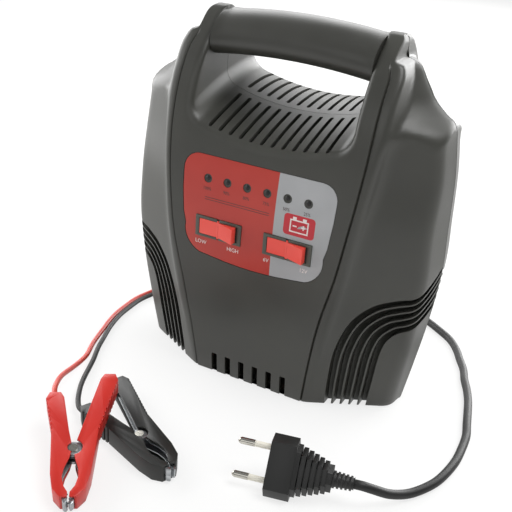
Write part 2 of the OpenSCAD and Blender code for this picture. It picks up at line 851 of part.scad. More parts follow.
module supply_wires() {
    gland_y = gland_in - 6;
    side_x = bobbin_x - 0.6;
    low_z = bobbin_low + 8;
    front_y = foot_y - bobbin_y + 0.6;
    color(label_red) {
        wire([[gland_x - 2.5, gland_y, 23], [gland_x - 2.5, gland_y - 2, 23], [side_x + 3, 33.5, low_z],
            [side_x, 33.5, low_z]], [0, 0, 1]);
        wire([[gland_x + 2.5, gland_y, 22], [gland_x + 2.5, gland_y - 3, 22], [31, 32, 40], [29, 31.5, 62],
            [23, 31, 88], [breaker_x, 31, breaker_z - 6], [breaker_x, 31, breaker_z]], [1, 0.2, 0]);
        wire([[switch_x, bezel_y + housing_d + 8, switch_z], [switch_x, -25, switch_z], [switch_x, -20, 92],
            [22, -20, 60], [15, -17, low_z + 6], [14, -13, low_z], [14, front_y, low_z]], [1, 0, 0]);
    }
}

module output_wires() {
    side_x = bobbin_x - 0.6;
    high_z = bobbin_mid + 6;
    front_y = foot_y - bobbin_y + 0.6;
    gland_y = gland_in - 6;
    back = board_y + board_t;
    color(dark_plastic) {
        wire([[-side_x, 32, high_z], [-side_x - 2, 32, high_z], [-25, 32, 52], [-26, 32, 75],
            [-24, 31, bridge_z - 6], [-24, 31, bridge_z]], [0.2, 1, 0.1]);
        wire([[-31, 31, bridge_z], [-31, 31, bridge_z - 6], [-34, 32.5, 85], [-35.5, 33, 55],
            [-34, 33, 30], [-31, gland_y - 2, 22], [-31, gland_y, 22]], [1, 0.2, 0.1]);
        wire([[-side_x, 34.2, high_z + 2], [-side_x - 3, 34.2, high_z + 2], [-28, 34, 34], [-26, 33, 26],
            [-26, gland_y - 2, 22], [-26, gland_y, 22]], [0.3, 0.9, 0.4]);
        wire([[18, 31, breaker_z], [18, 31, breaker_z - 6], [12, 31, 92], [0, 31, 89], [-10, 31, 93],
            [-14, 31, bridge_z - 5], [-14, 31, bridge_z]], [0, 1, 0]);
        wire([[-38, back, 140], [-38, back + 4, 140], [-41, -20, 138], [-43, 0, 132], [-42, 22, 124],
            [-37, 30, 120.5], [bridge_x - bridge_w / 2, 30, 120.5]], [0, 0, 1]);
        wire([[-switch_x, bezel_y + housing_d + 8, switch_z], [-switch_x, -25, switch_z], [-switch_x, -20, 92],
            [-22, -20, 66], [-15, -17, high_z + 7], [-14, -13, high_z], [-14, front_y, high_z]], [1, 0, 0]);
    }
}

// ---- Mains lead with its plug ----
floor_z = mains_d / 2;
mains_out = gland_seat + flange_t + mains_relief;
plug_at = [57, -125];
plug_turn = 12.4;
plug_roll = 56;
plug_grip = 14.5;
plug_waist = 36;
plug_len = 48;
plug_z = 14.65;
plug_axis = [cos(plug_turn), sin(plug_turn), 0];
plug_end = [plug_at[0], plug_at[1], plug_z] + plug_len * plug_axis;
core_r = pin_d / 2 - 0.6;

mains_route = [[gland_x, mains_out, gland_z], [gland_x, mains_out + 9, gland_z], [33, mains_out + 19, 15],
    [39, mains_out + 27, 7], [49, mains_out + 31, floor_z], [62, mains_out + 28, floor_z], [77, 105, floor_z],
    [90, 96, floor_z], [101, 87, floor_z], [109, 76, floor_z], [115, 64, floor_z], [121, 52, floor_z],
    [125, 40, floor_z], [130, 28, floor_z], [134, 16, floor_z], [137, 4, floor_z], [140, -9, floor_z],
    [143, -22, floor_z], [144, -36, floor_z], [144, -50, floor_z], [142, -64, floor_z], [139, -75, floor_z],
    [134, -85, floor_z], [128, -94, 3.5], [121, -103, 7], [114, -110, 12],
    plug_end + 5 * plug_axis, plug_end];

module mains_lead() {
    color(flex_black) tube(mains_route, mains_d / 2, 12);
}

module at_plug() {
    translate([plug_at[0], plug_at[1], plug_z]) rotate([0, 0, plug_turn]) rotate([plug_roll, 0, 0]) children();
}

module plug_section(x0, x1, w, t) {
    translate([x0, 0, 0]) rotate([90, 0, 90]) linear_extrude(x1 - x0)
        polygon([[-w / 2, 0], [-w / 2 + 4.6, -t / 2], [w / 2 - 4.6, -t / 2], [w / 2, 0],
            [w / 2 - 4.6, t / 2], [-w / 2 + 4.6, t / 2]]);
}

module plug_body() {
    rib = 3.2;
    ribs = 6;
    color(flex_black) at_plug() difference() {
        union() {
            plug_section(0, plug_grip, plug_w, plug_t);
            for (i = [0 : ribs - 1])
                let (f = i / (ribs - 1), x = plug_grip + i * rib)
                    plug_section(x, x + rib - 0.6, plug_w - 6 - 11 * f, plug_t - 1 - 2 * f);
            plug_section(plug_grip, plug_waist, plug_w - 20, plug_t - 4);
            rotate([0, 0, -90]) relief(plug_waist - 2, plug_len, 5, 4);
        }
        for (side = [-1, 1])
            translate([-1, side * pin_pitch / 2, 0]) rotate([0, 90, 0]) cylinder(r = core_r + fit, h = 9);
    }
}

module plug_pins() {
    color(nickel) at_plug() for (side = [-1, 1])
        translate([0, side * pin_pitch / 2, 0]) {
            translate([-pin_l + 1, 0, 0]) rotate([0, 90, 0]) cylinder(r = pin_d / 2, h = pin_l - 1 - sleeve_l);
            translate([-pin_l + 1, 0, 0]) sphere(r = 0.9 * pin_d / 2);
            translate([-sleeve_l - 1, 0, 0]) rotate([0, 90, 0]) cylinder(r = core_r, h = sleeve_l + 9);
        }
}

module pin_sleeves() {
    color(nylon) at_plug() for (side = [-1, 1])
        translate([-sleeve_l, side * pin_pitch / 2, 0]) rotate([0, 90, 0]) difference() {
            cylinder(r = pin_d / 2 - 0.25, h = sleeve_l);
            translate([0, 0, -1]) cylinder(r = core_r + fit, h = sleeve_l + 2);
        }
}

// ---- Clamps: pivot at the origin, jaws towards -X, cable handle on +Y ----
half_t = clamp_t / 2;
inner_t = half_t - cover_t;
fixed_out = inner_t - 0.1;
moving_out = fixed_out - sheet_t - gap;
ear_r = 4.6;
arm_w = 9.5;
arm_turn = 13.7;
clamp_range = 20;

black_tip = [11, -152, 0];
black_turn = 155.3;
red_tip = [-22, -201.5, -0.5];
red_turn = 123.5;
red_pitch = 11.5;

function rise(x) = 1.4 + (x - 4) * tan(arm_turn);
function cover_edge(len) = [[-33, 0.6], [-33, 4.5], [-28, 8.6], [-18, 10.8], [0, 12], [12, 13.2],
    [len - 5, rise(len - 5) + arm_w], [len, rise(len) + arm_w - 3], [len, rise(len)],
    [len - 4, rise(len - 4) - 1.2], [12, rise(12)], [4, 1.4], [-2, 0.6], [-8, 1.6], [-14, 3.6],
    [-20, 4.4], [-26, 3], [-30, 0.6]];
function cover_bore(len, t) = [[-50, -30], [-50, 4.4 - t], [-33, 4.4 - t], [-28 + 0.3 * t, 8.5 - t],
    [-18, 10.8 - t], [0, 12 - t], [12, 13.2 - t], [len - 5 - 0.3 * t, rise(len - 5) + arm_w - 1.1 * t],
    [len - t, rise(len) + arm_w - 3 - t], [len - t, -30]];

module slab(half, points) {
    translate([0, 0, -half]) linear_extrude(2 * half) polygon(points);
}

// Ribbed insulating cover of one arm
module arm_cover(len, notch) {
    ribs = floor((len - 16) / 3);
    difference() {
        slab(half_t, cover_edge(len));
        slab(inner_t, cover_bore(len, cover_t));
        cylinder(r = notch, h = 30, center = true);
        for (i = [0 : ribs - 1])
            let (x = len - 7 - 3 * i)
                translate([x, rise(x) + arm_w, 0]) rotate([0, 0, arm_turn])
                    cube([1, 0.9, 30], center = true);
    }
}

// Folded steel jaw of one arm, with its ears round the pivot
module arm_jaw(len, half) {
    end = len - 10;
    difference() {
        union() {
            slab(half, concat([[-36, 0.9], [-36, 1.9], [-34.5, 3]],
                [for (i = [2 : 6]) cover_bore(len, cover_t + 0.1)[i]],
                [[end, rise(end) + arm_w - 1.45], [end, rise(end) + 0.3], [12, rise(12) + 0.3], [5, 1.9],
                [-6, 1.5], [-8, 2.2], [-14, 4.3], [-20, 5], [-26, 3.6], [-30, 0.9]],
                [for (i = [0 : 5]) [-30.5 - i, i % 2 == 0 ? 0.2 : 0.9]]));
            cylinder(r = ear_r, h = 2 * half, center = true);
        }
        slab(half - sheet_t, concat([[-33, -30]],
            [for (i = [2 : 7]) cover_bore(len + 9, cover_t + 0.1 + sheet_t)[i]],
            [[len, -30]]));
        cylinder(r = rivet_d / 2 + fit, h = 30, center = true);
    }
}

module clamp_rivet() {
    color(steel) {
        cylinder(r = rivet_d / 2, h = 2 * fixed_out, center = true);
        for (side = [-1, 1])
            translate([0, 0, side * (fixed_out + 0.35)]) cylinder(r = 2.6, h = 0.7, center = true);
    }
}

spring_r = 3;
spring_pitch = 1.7;
leg_x = 20;
leg_y = rise(leg_x) + arm_w - cover_t - sheet_t - spring_wire / 2 - 0.2;
leg_turn = 23.3;
curl_from = 90 + leg_turn;
curl_to = 630 - leg_turn;
curl_steps = 11;
spring_route = concat([[leg_x, leg_y, spring_pitch * 0.68],
    [leg_x / 2, (leg_y + spring_r) / 2, spring_pitch * 0.68]],
    [for (i = [0 : curl_steps]) let (f = i / curl_steps, a = curl_from + (curl_to - curl_from) * f)
        [spring_r * cos(a), spring_r * sin(a), spring_pitch * 1.36 * (0.5 - f)]],
    [[leg_x / 2, -(leg_y + spring_r) / 2, -spring_pitch * 0.68], [leg_x, -leg_y, -spring_pitch * 0.68]]);

// Least gap between the turns of a clamp spring, measured on its points
spring_gap = min([for (i = [0 : len(spring_route) - 1]) for (j = [i + 4 : 1 : len(spring_route) - 1])
    norm(spring_route[i] - spring_route[j])]) - spring_wire;
echo(spring_gap = spring_gap);

module clamp_spring() {
    color(nickel) tube(spring_route, spring_wire / 2, 6);
}

module at_black() {
    translate(black_tip) rotate([0, 0, black_turn]) translate([jaw_l, 0, half_t]) children();
}

module at_red() {
    translate(red_tip) rotate([0, 0, red_turn]) rotate([0, -red_pitch, 0])
        translate([jaw_l, 0, half_t]) children();
}

// Cord hole along the cable handle
cord_x = cable_handle_l - 9.8;
cord_y = rise(cable_handle_l) + 3.4;

module fixed_cover() {
    difference() {
        arm_cover(cable_handle_l, rivet_d);
        translate([cable_handle_l, cord_y, 0]) rotate([0, 0, arm_turn]) rotate([0, 90, 0])
            cylinder(r = lead_d / 2 + fit, h = 12, center = true);
    }
}

module red_fixed_cover() {
    color(clamp_red) at_red() fixed_cover();
}

module black_fixed_cover() {
    color(clamp_black) at_black() fixed_cover();
}

module red_fixed_jaw() {
    color(nickel) at_red() arm_jaw(cable_handle_l, fixed_out);
}

module black_fixed_jaw() {
    color(nickel) at_black() arm_jaw(cable_handle_l, fixed_out);
}

module red_moving_cover() {
    color(clamp_red) at_red() mirror([0, 1, 0]) arm_cover(handle_l, ear_r + 2 * gap);
}

module black_moving_cover() {
    color(clamp_black) at_black() mirror([0, 1, 0]) arm_cover(handle_l, ear_r + 2 * gap);
}

module red_moving_jaw() {
    color(nickel) at_red() mirror([0, 1, 0]) arm_jaw(handle_l, moving_out);
}

module black_moving_jaw() {
    color(nickel) at_black() mirror([0, 1, 0]) arm_jaw(handle_l, moving_out);
}

module red_clamp_rivet() {
    at_red() clamp_rivet();
}

module black_clamp_rivet() {
    at_black() clamp_rivet();
}

module red_clamp_spring() {
    at_red() clamp_spring();
}

module black_clamp_spring() {
    at_black() clamp_spring();
}

// ---- Output leads ----
lead_z = lead_d / 2;
lead_out = gland_seat + flange_t + lead_relief;
twin_gap = lead_d + 0.3;

function turn_z(v, a) = [v[0] * cos(a) - v[1] * sin(a), v[0] * sin(a) + v[1] * cos(a), v[2]];
function tip_up(v, a) = [v[0] * cos(a) - v[2] * sin(a), v[1], v[0] * sin(a) + v[2] * cos(a)];
function in_black(v) = black_tip + turn_z(v + [jaw_l, 0, half_t], black_turn);
function in_red(v) = red_tip + turn_z(tip_up(v + [jaw_l, 0, half_t], red_pitch), red_turn);
function on_cord(s) = [cable_handle_l + s * cos(arm_turn), cord_y + s * sin(arm_turn), 0];

twin_route = [[-gland_x, lead_out, gland_z], [-gland_x, lead_out + 7, gland_z], [-33, lead_out + 14, 17],
    [-37, lead_out + 21, 10], [-45, 97, 4], [-56, 100, lead_z], [-69, 98, lead_z], [-84, 91, lead_z],
    [-97, 79, lead_z], [-108, 62, lead_z], [-115, 42, lead_z], [-120, 22, lead_z], [-123, 8, lead_z],
    [-123, -6, lead_z], [-122, -20, lead_z], [-119, -34, lead_z], [-115, -47, lead_z]];
twin_path = smooth(twin_route);
red_tail = smooth([[-117, -48, lead_z], [-112, -64, lead_z], [-106, -78, 2.5], [-102, -92, 5], [-97, -107, 10],
    [-91, -122, 16], [-84, -135, 20.5], in_red(on_cord(5)), in_red(on_cord(-9.8))]);
black_tail = smooth([[-113, -46, lead_z], [-107, -63, lead_z], [-100, -78, lead_z], [-94, -92, 2.5],
    [-88, -105, 4],
    [-80, -119, 5.5], in_black(on_cord(5)), in_black(on_cord(-9.8))]);

function joined(a, b) = concat([for (i = [0 : len(a) - 2]) a[i]], [for (i = [1 : len(b) - 1]) b[i]]);
function on_floor(p) = [for (q = p) [q[0], q[1], max(q[2], lead_z)]];

module red_lead() {
    color(lead_red) tube(on_floor(joined(beside(twin_path, twin_gap / 2), red_tail)), lead_d / 2, 8);
}

module black_lead() {
    color(flex_black) tube(on_floor(joined(beside(twin_path, -twin_gap / 2), black_tail)), lead_d / 2, 8);
}

front_shell();
rear_shell();
handle_grip();
control_label();
indicator_leds();
display_board();
board_components();
board_screws();
current_switch_housing();
current_switch_rocker();
voltage_switch_housing();
voltage_switch_rocker();
switch_terminals();
case_screws();
transformer_core();
transformer_bobbin();
primary_winding();
secondary_winding();
transformer_bracket();
bracket_screws();
heat_sink();
bridge_rectifier();
thermal_breaker();
sink_screws();
mains_gland();
mains_gland_nut();
lead_grommet();
supply_wires();
output_wires();
mains_lead();
plug_body();
plug_pins();
pin_sleeves();
red_lead();
black_lead();
red_fixed_cover();
red_fixed_jaw();
red_moving_cover();
red_moving_jaw();
red_clamp_rivet();
red_clamp_spring();
black_fixed_cover();
black_fixed_jaw();
black_moving_cover();
black_moving_jaw();
black_clamp_rivet();
black_clamp_spring();
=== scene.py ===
import json
import math
from bisect import bisect_left

import bmesh
import bpy
from mathutils import Matrix, Vector

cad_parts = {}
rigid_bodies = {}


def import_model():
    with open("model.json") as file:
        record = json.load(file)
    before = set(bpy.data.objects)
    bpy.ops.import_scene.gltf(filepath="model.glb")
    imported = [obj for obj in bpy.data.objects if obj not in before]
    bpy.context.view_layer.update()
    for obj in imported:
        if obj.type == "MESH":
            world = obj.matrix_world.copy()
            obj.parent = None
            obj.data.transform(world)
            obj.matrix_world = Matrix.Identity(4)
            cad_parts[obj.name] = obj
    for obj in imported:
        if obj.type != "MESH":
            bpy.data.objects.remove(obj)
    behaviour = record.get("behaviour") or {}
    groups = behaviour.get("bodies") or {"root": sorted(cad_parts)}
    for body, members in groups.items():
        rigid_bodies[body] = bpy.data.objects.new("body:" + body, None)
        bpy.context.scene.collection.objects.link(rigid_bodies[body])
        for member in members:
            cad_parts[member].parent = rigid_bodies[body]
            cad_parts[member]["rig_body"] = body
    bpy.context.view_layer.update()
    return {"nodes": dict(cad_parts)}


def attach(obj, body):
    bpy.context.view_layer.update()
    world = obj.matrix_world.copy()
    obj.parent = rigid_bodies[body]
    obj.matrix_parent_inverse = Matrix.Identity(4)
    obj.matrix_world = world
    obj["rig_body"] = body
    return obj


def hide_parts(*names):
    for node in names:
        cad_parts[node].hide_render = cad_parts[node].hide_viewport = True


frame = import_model()
MM = 0.001

# ======== Camera, floor and light ========


def place_camera():
    """The camera stands in front, to the right and above, turned a little about its own axis."""
    azimuth, elevation, roll = (math.radians(a) for a in (25.87, 25.84, 4.46))
    right = Vector((math.cos(azimuth), math.sin(azimuth), 0))
    back = Vector((math.sin(azimuth) * math.cos(elevation), -math.cos(azimuth) * math.cos(elevation),
                   math.sin(elevation)))
    up = back.cross(right)
    across = right * math.cos(roll) + up * math.sin(roll)
    above = up * math.cos(roll) - right * math.sin(roll)
    data = bpy.data.cameras.new("camera")
    data.sensor_width = 36
    data.lens = 59.89
    data.clip_start, data.clip_end = 0.01, 10
    camera = bpy.data.objects.new("camera", data)
    turn = Matrix((across, above, back)).transposed().to_4x4()
    camera.matrix_world = Matrix.Translation((0.2065, -0.4706, 0.3243)) @ turn
    bpy.context.scene.collection.objects.link(camera)
    bpy.context.scene.camera = camera


def linear(hex_colour):
    """An sRGB colour such as "#45453f" as linear red, green and blue, opaque."""
    channels = [int(hex_colour[i:i + 2], 16) / 255 for i in (1, 3, 5)]
    return [c / 12.92 if c <= 0.04045 else ((c + 0.055) / 1.055) ** 2.4 for c in channels] + [1.0]


def add(tree, kind, sockets=None, **settings):
    """A shader node with its settings, and with its sockets set or linked."""
    made = tree.nodes.new("ShaderNode" + kind)
    for name, value in settings.items():
        setattr(made, name, value)
    for name, value in (sockets or {}).items():
        if isinstance(value, bpy.types.NodeSocket):
            tree.links.new(value, made.inputs[name])
        else:
            made.inputs[name].default_value = value
    return made


def soft_box(name, place, size, watts, aim=(0, 0, 0.1)):
    """A rectangular area light that faces a point."""
    data = bpy.data.lights.new(name, "AREA")
    data.shape = "RECTANGLE"
    data.size, data.size_y = size
    data.energy = watts
    lamp = bpy.data.objects.new(name, data)
    lamp.location = place
    lamp.rotation_euler = (Vector(place) - Vector(aim)).to_track_quat("Z", "Y").to_euler()
    bpy.context.scene.collection.objects.link(lamp)


def light_scene():
    """A white cyclorama: soft boxes at both sides and above, and an even fill."""
    scene = bpy.context.scene
    scene.view_settings.view_transform = "Standard"
    world = bpy.data.worlds.new("studio")
    scene.world = world
    world.use_nodes = True
    tree = world.node_tree
    tree.nodes.clear()
    path = add(tree, "LightPath")
    seen = add(tree, "Math", {0: path.outputs["Is Camera Ray"], 1: path.outputs["Is Transmission Ray"]},
               operation="MAXIMUM")
    fill = add(tree, "Background", {"Color": linear("#f4f6f8"), "Strength": 0.3})
    white = add(tree, "Background", {"Color": (1, 1, 1, 1), "Strength": 1.0})
    both = add(tree, "MixShader", {0: seen.outputs[0], 1: fill.outputs[0], 2: white.outputs[0]})
    add(tree, "OutputWorld", {"Surface": both.outputs[0]})
    soft_box("left_box", (-1.0, 0.05, 0.4), (1.2, 0.9), 15)
    soft_box("right_box", (0.5, 1.35, 0.55), (1.0, 0.9), 24)
    soft_box("back_box", (-0.6, 1.5, 0.85), (1.8, 1.0), 16, (0, 0, 0.18))
    soft_box("top_box", (0.45, 0.0, 1.1), (0.6, 0.6), 8)
    soft_box("front_box", (0.1, -1.2, 0.75), (1.0, 0.6), 2)


def lay_floor():
    """Matt white paper, as bright as the background, that keeps a soft shadow."""
    bm = bmesh.new()
    bmesh.ops.create_grid(bm, x_segments=1, y_segments=1, size=3)
    mesh = bpy.data.meshes.new("floor")
    bm.to_mesh(mesh)
    bm.free()
    floor = bpy.data.objects.new("floor", mesh)
    floor.location.z = -0.0003
    bpy.context.scene.collection.objects.link(floor)
    material = bpy.data.materials.new("white_paper")
    material.use_nodes = True
    tree = material.node_tree
    tree.nodes.clear()
    path = add(tree, "LightPath")
    seen = add(tree, "Math", {0: path.outputs["Is Camera Ray"], 1: path.outputs["Is Glossy Ray"]},
               operation="MAXIMUM")
    part = add(tree, "Math", {0: seen.outputs[0], 1: 0.75}, operation="MULTIPLY")
    paper = add(tree, "BsdfDiffuse", {"Color": linear("#f2f2f0")})
    glow = add(tree, "Emission", {"Color": (1, 1, 1, 1), "Strength": 1.0})
    both = add(tree, "MixShader", {0: part.outputs[0], 1: paper.outputs[0], 2: glow.outputs[0]})
    add(tree, "OutputMaterial", {"Surface": both.outputs[0]})
    mesh.materials.append(material)


place_camera()
light_scene()
lay_floor()

# ======== Materials ========


def surface(name, colour, roughness, metallic=0.0):
    """A new material with a Principled shader, its node tree and its Object coordinates."""
    material = bpy.data.materials.new(name)
    material.use_nodes = True
    tree = material.node_tree
    shader = tree.nodes["Principled BSDF"]
    shader.inputs["Base Color"].default_value = linear(colour)
    shader.inputs["Roughness"].default_value = roughness
    shader.inputs["Metallic"].default_value = metallic
    place = add(tree, "TexCoord").outputs["Object"]
    return material, tree, shader, place


def speckle(tree, place, size_mm, detail):
    """Noise whose patches are about size_mm across."""
    noise = add(tree, "TexNoise", {"Vector": place, "Scale": 1 / (size_mm * MM), "Detail": detail})
    return noise.outputs["Fac"]


def ranged(tree, value, low, high, from_low=0.3, from_high=0.7):
    """The value carried from one range over to another."""
    return add(tree, "MapRange", {"Value": value, "From Min": from_low, "From Max": from_high,
                                  "To Min": low, "To Max": high}).outputs["Result"]


def mixed(tree, factor, first, second):
    """A colour between two: both may be hex colours or sockets."""
    ends = [linear(c) if isinstance(c, str) else c for c in (first, second)]
    return add(tree, "Mix", {0: factor, 6: ends[0], 7: ends[1]}, data_type="RGBA").outputs[2]


def painted(tree, shader, factor, first, second):
    """Gives the shader a colour between two."""
    tree.links.new(mixed(tree, factor, first, second), shader.inputs["Base Color"])


def bumped(tree, shader, height, depth_mm, strength=1.0, under=None):
    """Relief on the shader, over another relief if one is given."""
    sockets = {"Height": height, "Distance": depth_mm * MM, "Strength": strength}
    if under is not None:
        sockets["Normal"] = under
    bump = add(tree, "Bump", sockets)
    tree.links.new(bump.outputs["Normal"], shader.inputs["Normal"])
    return bump.outputs["Normal"]


def moulded(name, dark, light, roughness, grain_mm, grain_depth, sheen_range=0.05):
    """A moulded plastic: a tone that drifts over the piece, and the fine grain of its tool."""
    material, tree, shader, place = surface(name, dark, roughness)
    drift = speckle(tree, place, 45, 3.0)
    grain = speckle(tree, place, grain_mm, 3.0)
    painted(tree, shader, ranged(tree, drift, 0, 1), dark, light)
    tree.links.new(ranged(tree, drift, roughness - sheen_range, roughness + sheen_range),
                   shader.inputs["Roughness"])
    bumped(tree, shader, grain, grain_depth)
    return material


# ABS, injection moulded in a spark-eroded tool: satin, dark grey, with a fine grain that breaks the shine
case_plastic = moulded("spark_grained_abs", "#383834", "#3f3f3a", 0.4, 0.8, 0.03)
# The same ABS from a smoother part of the tool: longer soft highlights
grip_plastic = moulded("smooth_abs", "#363632", "#3c3c38", 0.36, 1.2, 0.012)
# Soft PVC over a cord: black, half shiny, nearly smooth
cord_pvc = moulded("soft_black_pvc", "#0c0c0b", "#121211", 0.5, 1.5, 0.01)
# Soft PVC over a battery lead: red, half shiny
red_pvc = moulded("soft_red_pvc", "#c2301f", "#cf3a28", 0.36, 1.5, 0.01)

# ======== Mesh helpers; sizes are in millimetres until a piece is finished ========


def add_sheet(bm, columns, rows, place):
    """A grid in the bmesh whose corner (i, j) lies at place(i, j)."""
    verts = bmesh.ops.create_grid(bm, x_segments=columns, y_segments=rows, size=1)["verts"]
    for v in verts:
        v.co = place(round((v.co.x + 1) / 2 * columns), round((v.co.y + 1) / 2 * rows))
    return verts


def tidy(bm):
    """Merges points that coincide and drops the faces that vanish with them."""
    bmesh.ops.remove_doubles(bm, verts=bm.verts, dist=0.01)
    bmesh.ops.dissolve_degenerate(bm, edges=bm.edges, dist=0.01)


def fill_rims(bm):
    """Closes each open rim with one flat face."""
    rims = [e for e in bm.edges if e.is_boundary]
    bmesh.ops.holes_fill(bm, edges=rims, sides=0)
    bmesh.ops.recalc_face_normals(bm, faces=bm.faces)


def loft(sections):
    """A closed solid through closed outlines that all have the same number of points."""
    around = len(sections[0])
    bm = bmesh.new()
    add_sheet(bm, around, len(sections) - 1, lambda i, j: Vector(sections[j][i % around]))
    tidy(bm)
    fill_rims(bm)
    return bm


def box_mesh(low, high, round_edges=0.0, axis=None, segments=3):
    """A box between two corners, with the edges along one axis, or all of them, rounded."""
    bm = bmesh.new()
    bmesh.ops.create_cube(bm, size=1)
    for v in bm.verts:
        v.co = [l + (h - l) * (c + 0.5) for l, h, c in zip(low, high, v.co)]
    if round_edges:
        edges = [e for e in bm.edges if axis is None
                 or abs((e.verts[0].co - e.verts[1].co).normalized()[axis]) > 0.9]
        bmesh.ops.bevel(bm, geom=edges, offset=round_edges, segments=segments, profile=0.5,
                        affect="EDGES", material=-1)
    return bm


def bar_mesh(radius, start, end):
    """A round bar between two points."""
    start, end = Vector(start), Vector(end)
    bm = bmesh.new()
    bmesh.ops.create_cone(bm, cap_ends=True, segments=32, radius1=radius, radius2=radius,
                          depth=(end - start).length)
    turn = (end - start).to_track_quat("Z", "Y").to_matrix().to_4x4()
    bmesh.ops.transform(bm, matrix=Matrix.Translation((start + end) / 2) @ turn, verts=bm.verts)
    return bm


def joined(*parts):
    """Several bmeshes as one."""
    bm = bmesh.new()
    for part in parts:
        mesh = bpy.data.meshes.new("part")
        part.to_mesh(mesh)
        part.free()
        bm.from_mesh(mesh)
        bpy.data.meshes.remove(mesh)
    return bm


def moved(bm, matrix):
    """The bmesh after a move; a mirror image keeps its faces outwards."""
    bmesh.ops.transform(bm, matrix=matrix, verts=bm.verts)
    if matrix.determinant() < 0:
        bmesh.ops.reverse_faces(bm, faces=bm.faces)
    return bm


def mirrored_too(bm):
    """The bmesh and its mirror image across X, apart."""
    return joined(bm.copy(), moved(bm, Matrix.Scale(-1, 4, (1, 0, 0))))


def holder(bm):
    """The bmesh as an object for a modifier to work on."""
    mesh = bpy.data.meshes.new("holder")
    bm.to_mesh(mesh)
    bm.free()
    obj = bpy.data.objects.new("holder", mesh)
    bpy.context.scene.collection.objects.link(obj)
    return obj


def combined(first, second, operation):
    """A new bmesh from a boolean of two closed ones, which it uses up."""
    a, b = holder(first), holder(second)
    step = a.modifiers.new("step", "BOOLEAN")
    step.object, step.operation, step.solver = b, operation, "MANIFOLD"
    bm = bmesh.new()
    bm.from_object(a, bpy.context.evaluated_depsgraph_get())
    for obj in (a, b):
        mesh = obj.data
        bpy.data.objects.remove(obj)
        bpy.data.meshes.remove(mesh)
    bmesh.ops.remove_doubles(bm, verts=bm.verts, dist=0.0005)
    return bm


def cut(bm, *cutters):
    """The bmesh with the cutters taken out of it."""
    return combined(bm, joined(*cutters), "DIFFERENCE")


def finished(name, bm, material, body="charger", stands_for=(), sharp=35):
    """The bmesh as a piece of the object, in metres, that rides on its body."""
    bmesh.ops.scale(bm, vec=(MM, MM, MM), verts=bm.verts)
    for face in bm.faces:
        face.smooth = True
    for edge in bm.edges:
        edge.smooth = len(edge.link_faces) != 2 or edge.calc_face_angle(0) < math.radians(sharp)
    mesh = bpy.data.meshes.new(name)
    bm.to_mesh(mesh)
    bm.free()
    mesh.materials.append(material)
    obj = bpy.data.objects.new(name, mesh)
    bpy.context.scene.collection.objects.link(obj)
    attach(obj, body)
    if stands_for:
        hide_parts(*stands_for)
    return obj


# ======== Curves ========


def smooth(points, steps=8):
    """Points along a smooth curve through the given ones."""
    line = []
    for k in range(len(points) - 1):
        a, b, c, d = (Vector(points[min(max(k + n, 0), len(points) - 1)]) for n in (-1, 0, 1, 2))
        for s in range(steps):
            t = s / steps
            line.append(0.5 * (2 * b + (c - a) * t + (2 * a - 5 * b + 4 * c - d) * t * t
                               + (3 * b - a - 3 * c + d) * t ** 3))
    return line + [Vector(points[-1])]


def reader(points):
    """The value at any height on a smooth curve through (value, height) points."""
    line = smooth(points)
    heights = [p[1] for p in line]

    def at(z):
        k = min(max(bisect_left(heights, z), 1), len(line) - 1)
        a, b = line[k - 1], line[k]
        share = (z - a[1]) / max(b[1] - a[1], 1e-6)
        return a[0] + (b[0] - a[0]) * min(max(share, 0), 1)

    return at


def ease(value, low, high):
    """0 below low, 1 above high and a smooth step between."""
    t = min(max((value - low) / (high - low), 0), 1)
    return t * t * (3 - 2 * t)


def bend(start, corner, end, steps):
    """Points of a rounded corner, from start to end."""
    return [start * (1 - s / steps) ** 2 + corner * (2 * s / steps * (1 - s / steps)) + end * (s / steps) ** 2
            for s in range(steps + 1)]


def toward(a, b, distance, most=0.48):
    """The point at a distance from a towards b, or at most that share of the way."""
    gap = (b - a).length
    return a + (b - a) * (min(distance, most * gap) / gap) if gap > 1e-6 else a.copy()


def resampled(line, shares):
    """Points at shares of a line's length."""
    lengths = [0.0]
    for a, b in zip(line, line[1:]):
        lengths.append(lengths[-1] + (b - a).length)
    found = []
    for share in shares:
        want = share * lengths[-1]
        k = min(max(bisect_left(lengths, want), 1), len(line) - 1)
        step = lengths[k] - lengths[k - 1]
        found.append(line[k - 1].lerp(line[k], (want - lengths[k - 1]) / step if step > 1e-9 else 0))
    return found

# ======== Cords: the routes are the ones in the part's source, in millimetres ========

MAINS_D, LEAD_D = 5.4, 3.3
ON_FLOOR = LEAD_D / 2
ARM_TURN = math.radians(13.7)
CLAMP_HALF = 5.5
JAW_LENGTH = 36
CORD_Y = 1.4 + (41 - 4) * math.tan(ARM_TURN) + 3.4

black_place = (Matrix.Translation((11, -152, 0)) @ Matrix.Rotation(math.radians(155.3), 4, "Z")
               @ Matrix.Translation((JAW_LENGTH, 0, CLAMP_HALF)))
red_place = (Matrix.Translation((-22, -201.5, -0.5)) @ Matrix.Rotation(math.radians(123.5), 4, "Z")
             @ Matrix.Rotation(math.radians(-11.5), 4, "Y") @ Matrix.Translation((JAW_LENGTH, 0, CLAMP_HALF)))
plug_place = (Matrix.Translation((57, -125, 14.65)) @ Matrix.Rotation(math.radians(12.4), 4, "Z")
              @ Matrix.Rotation(math.radians(56), 4, "X"))
PLUG_LENGTH = 48


def in_handle(place, s):
    """A point of the lead's line in a clamp's cable handle, s beyond the handle's end."""
    return place @ Vector((41 + s * math.cos(ARM_TURN), CORD_Y + s * math.sin(ARM_TURN), 0))


def beside(points, distance):
    """The line that runs beside another at a distance, on the level."""
    line = []
    for k, point in enumerate(points):
        heading = points[min(k + 1, len(points) - 1)] - points[max(k - 1, 0)]
        line.append(point + distance * heading.cross(Vector((0, 0, 1))).normalized())
    return line


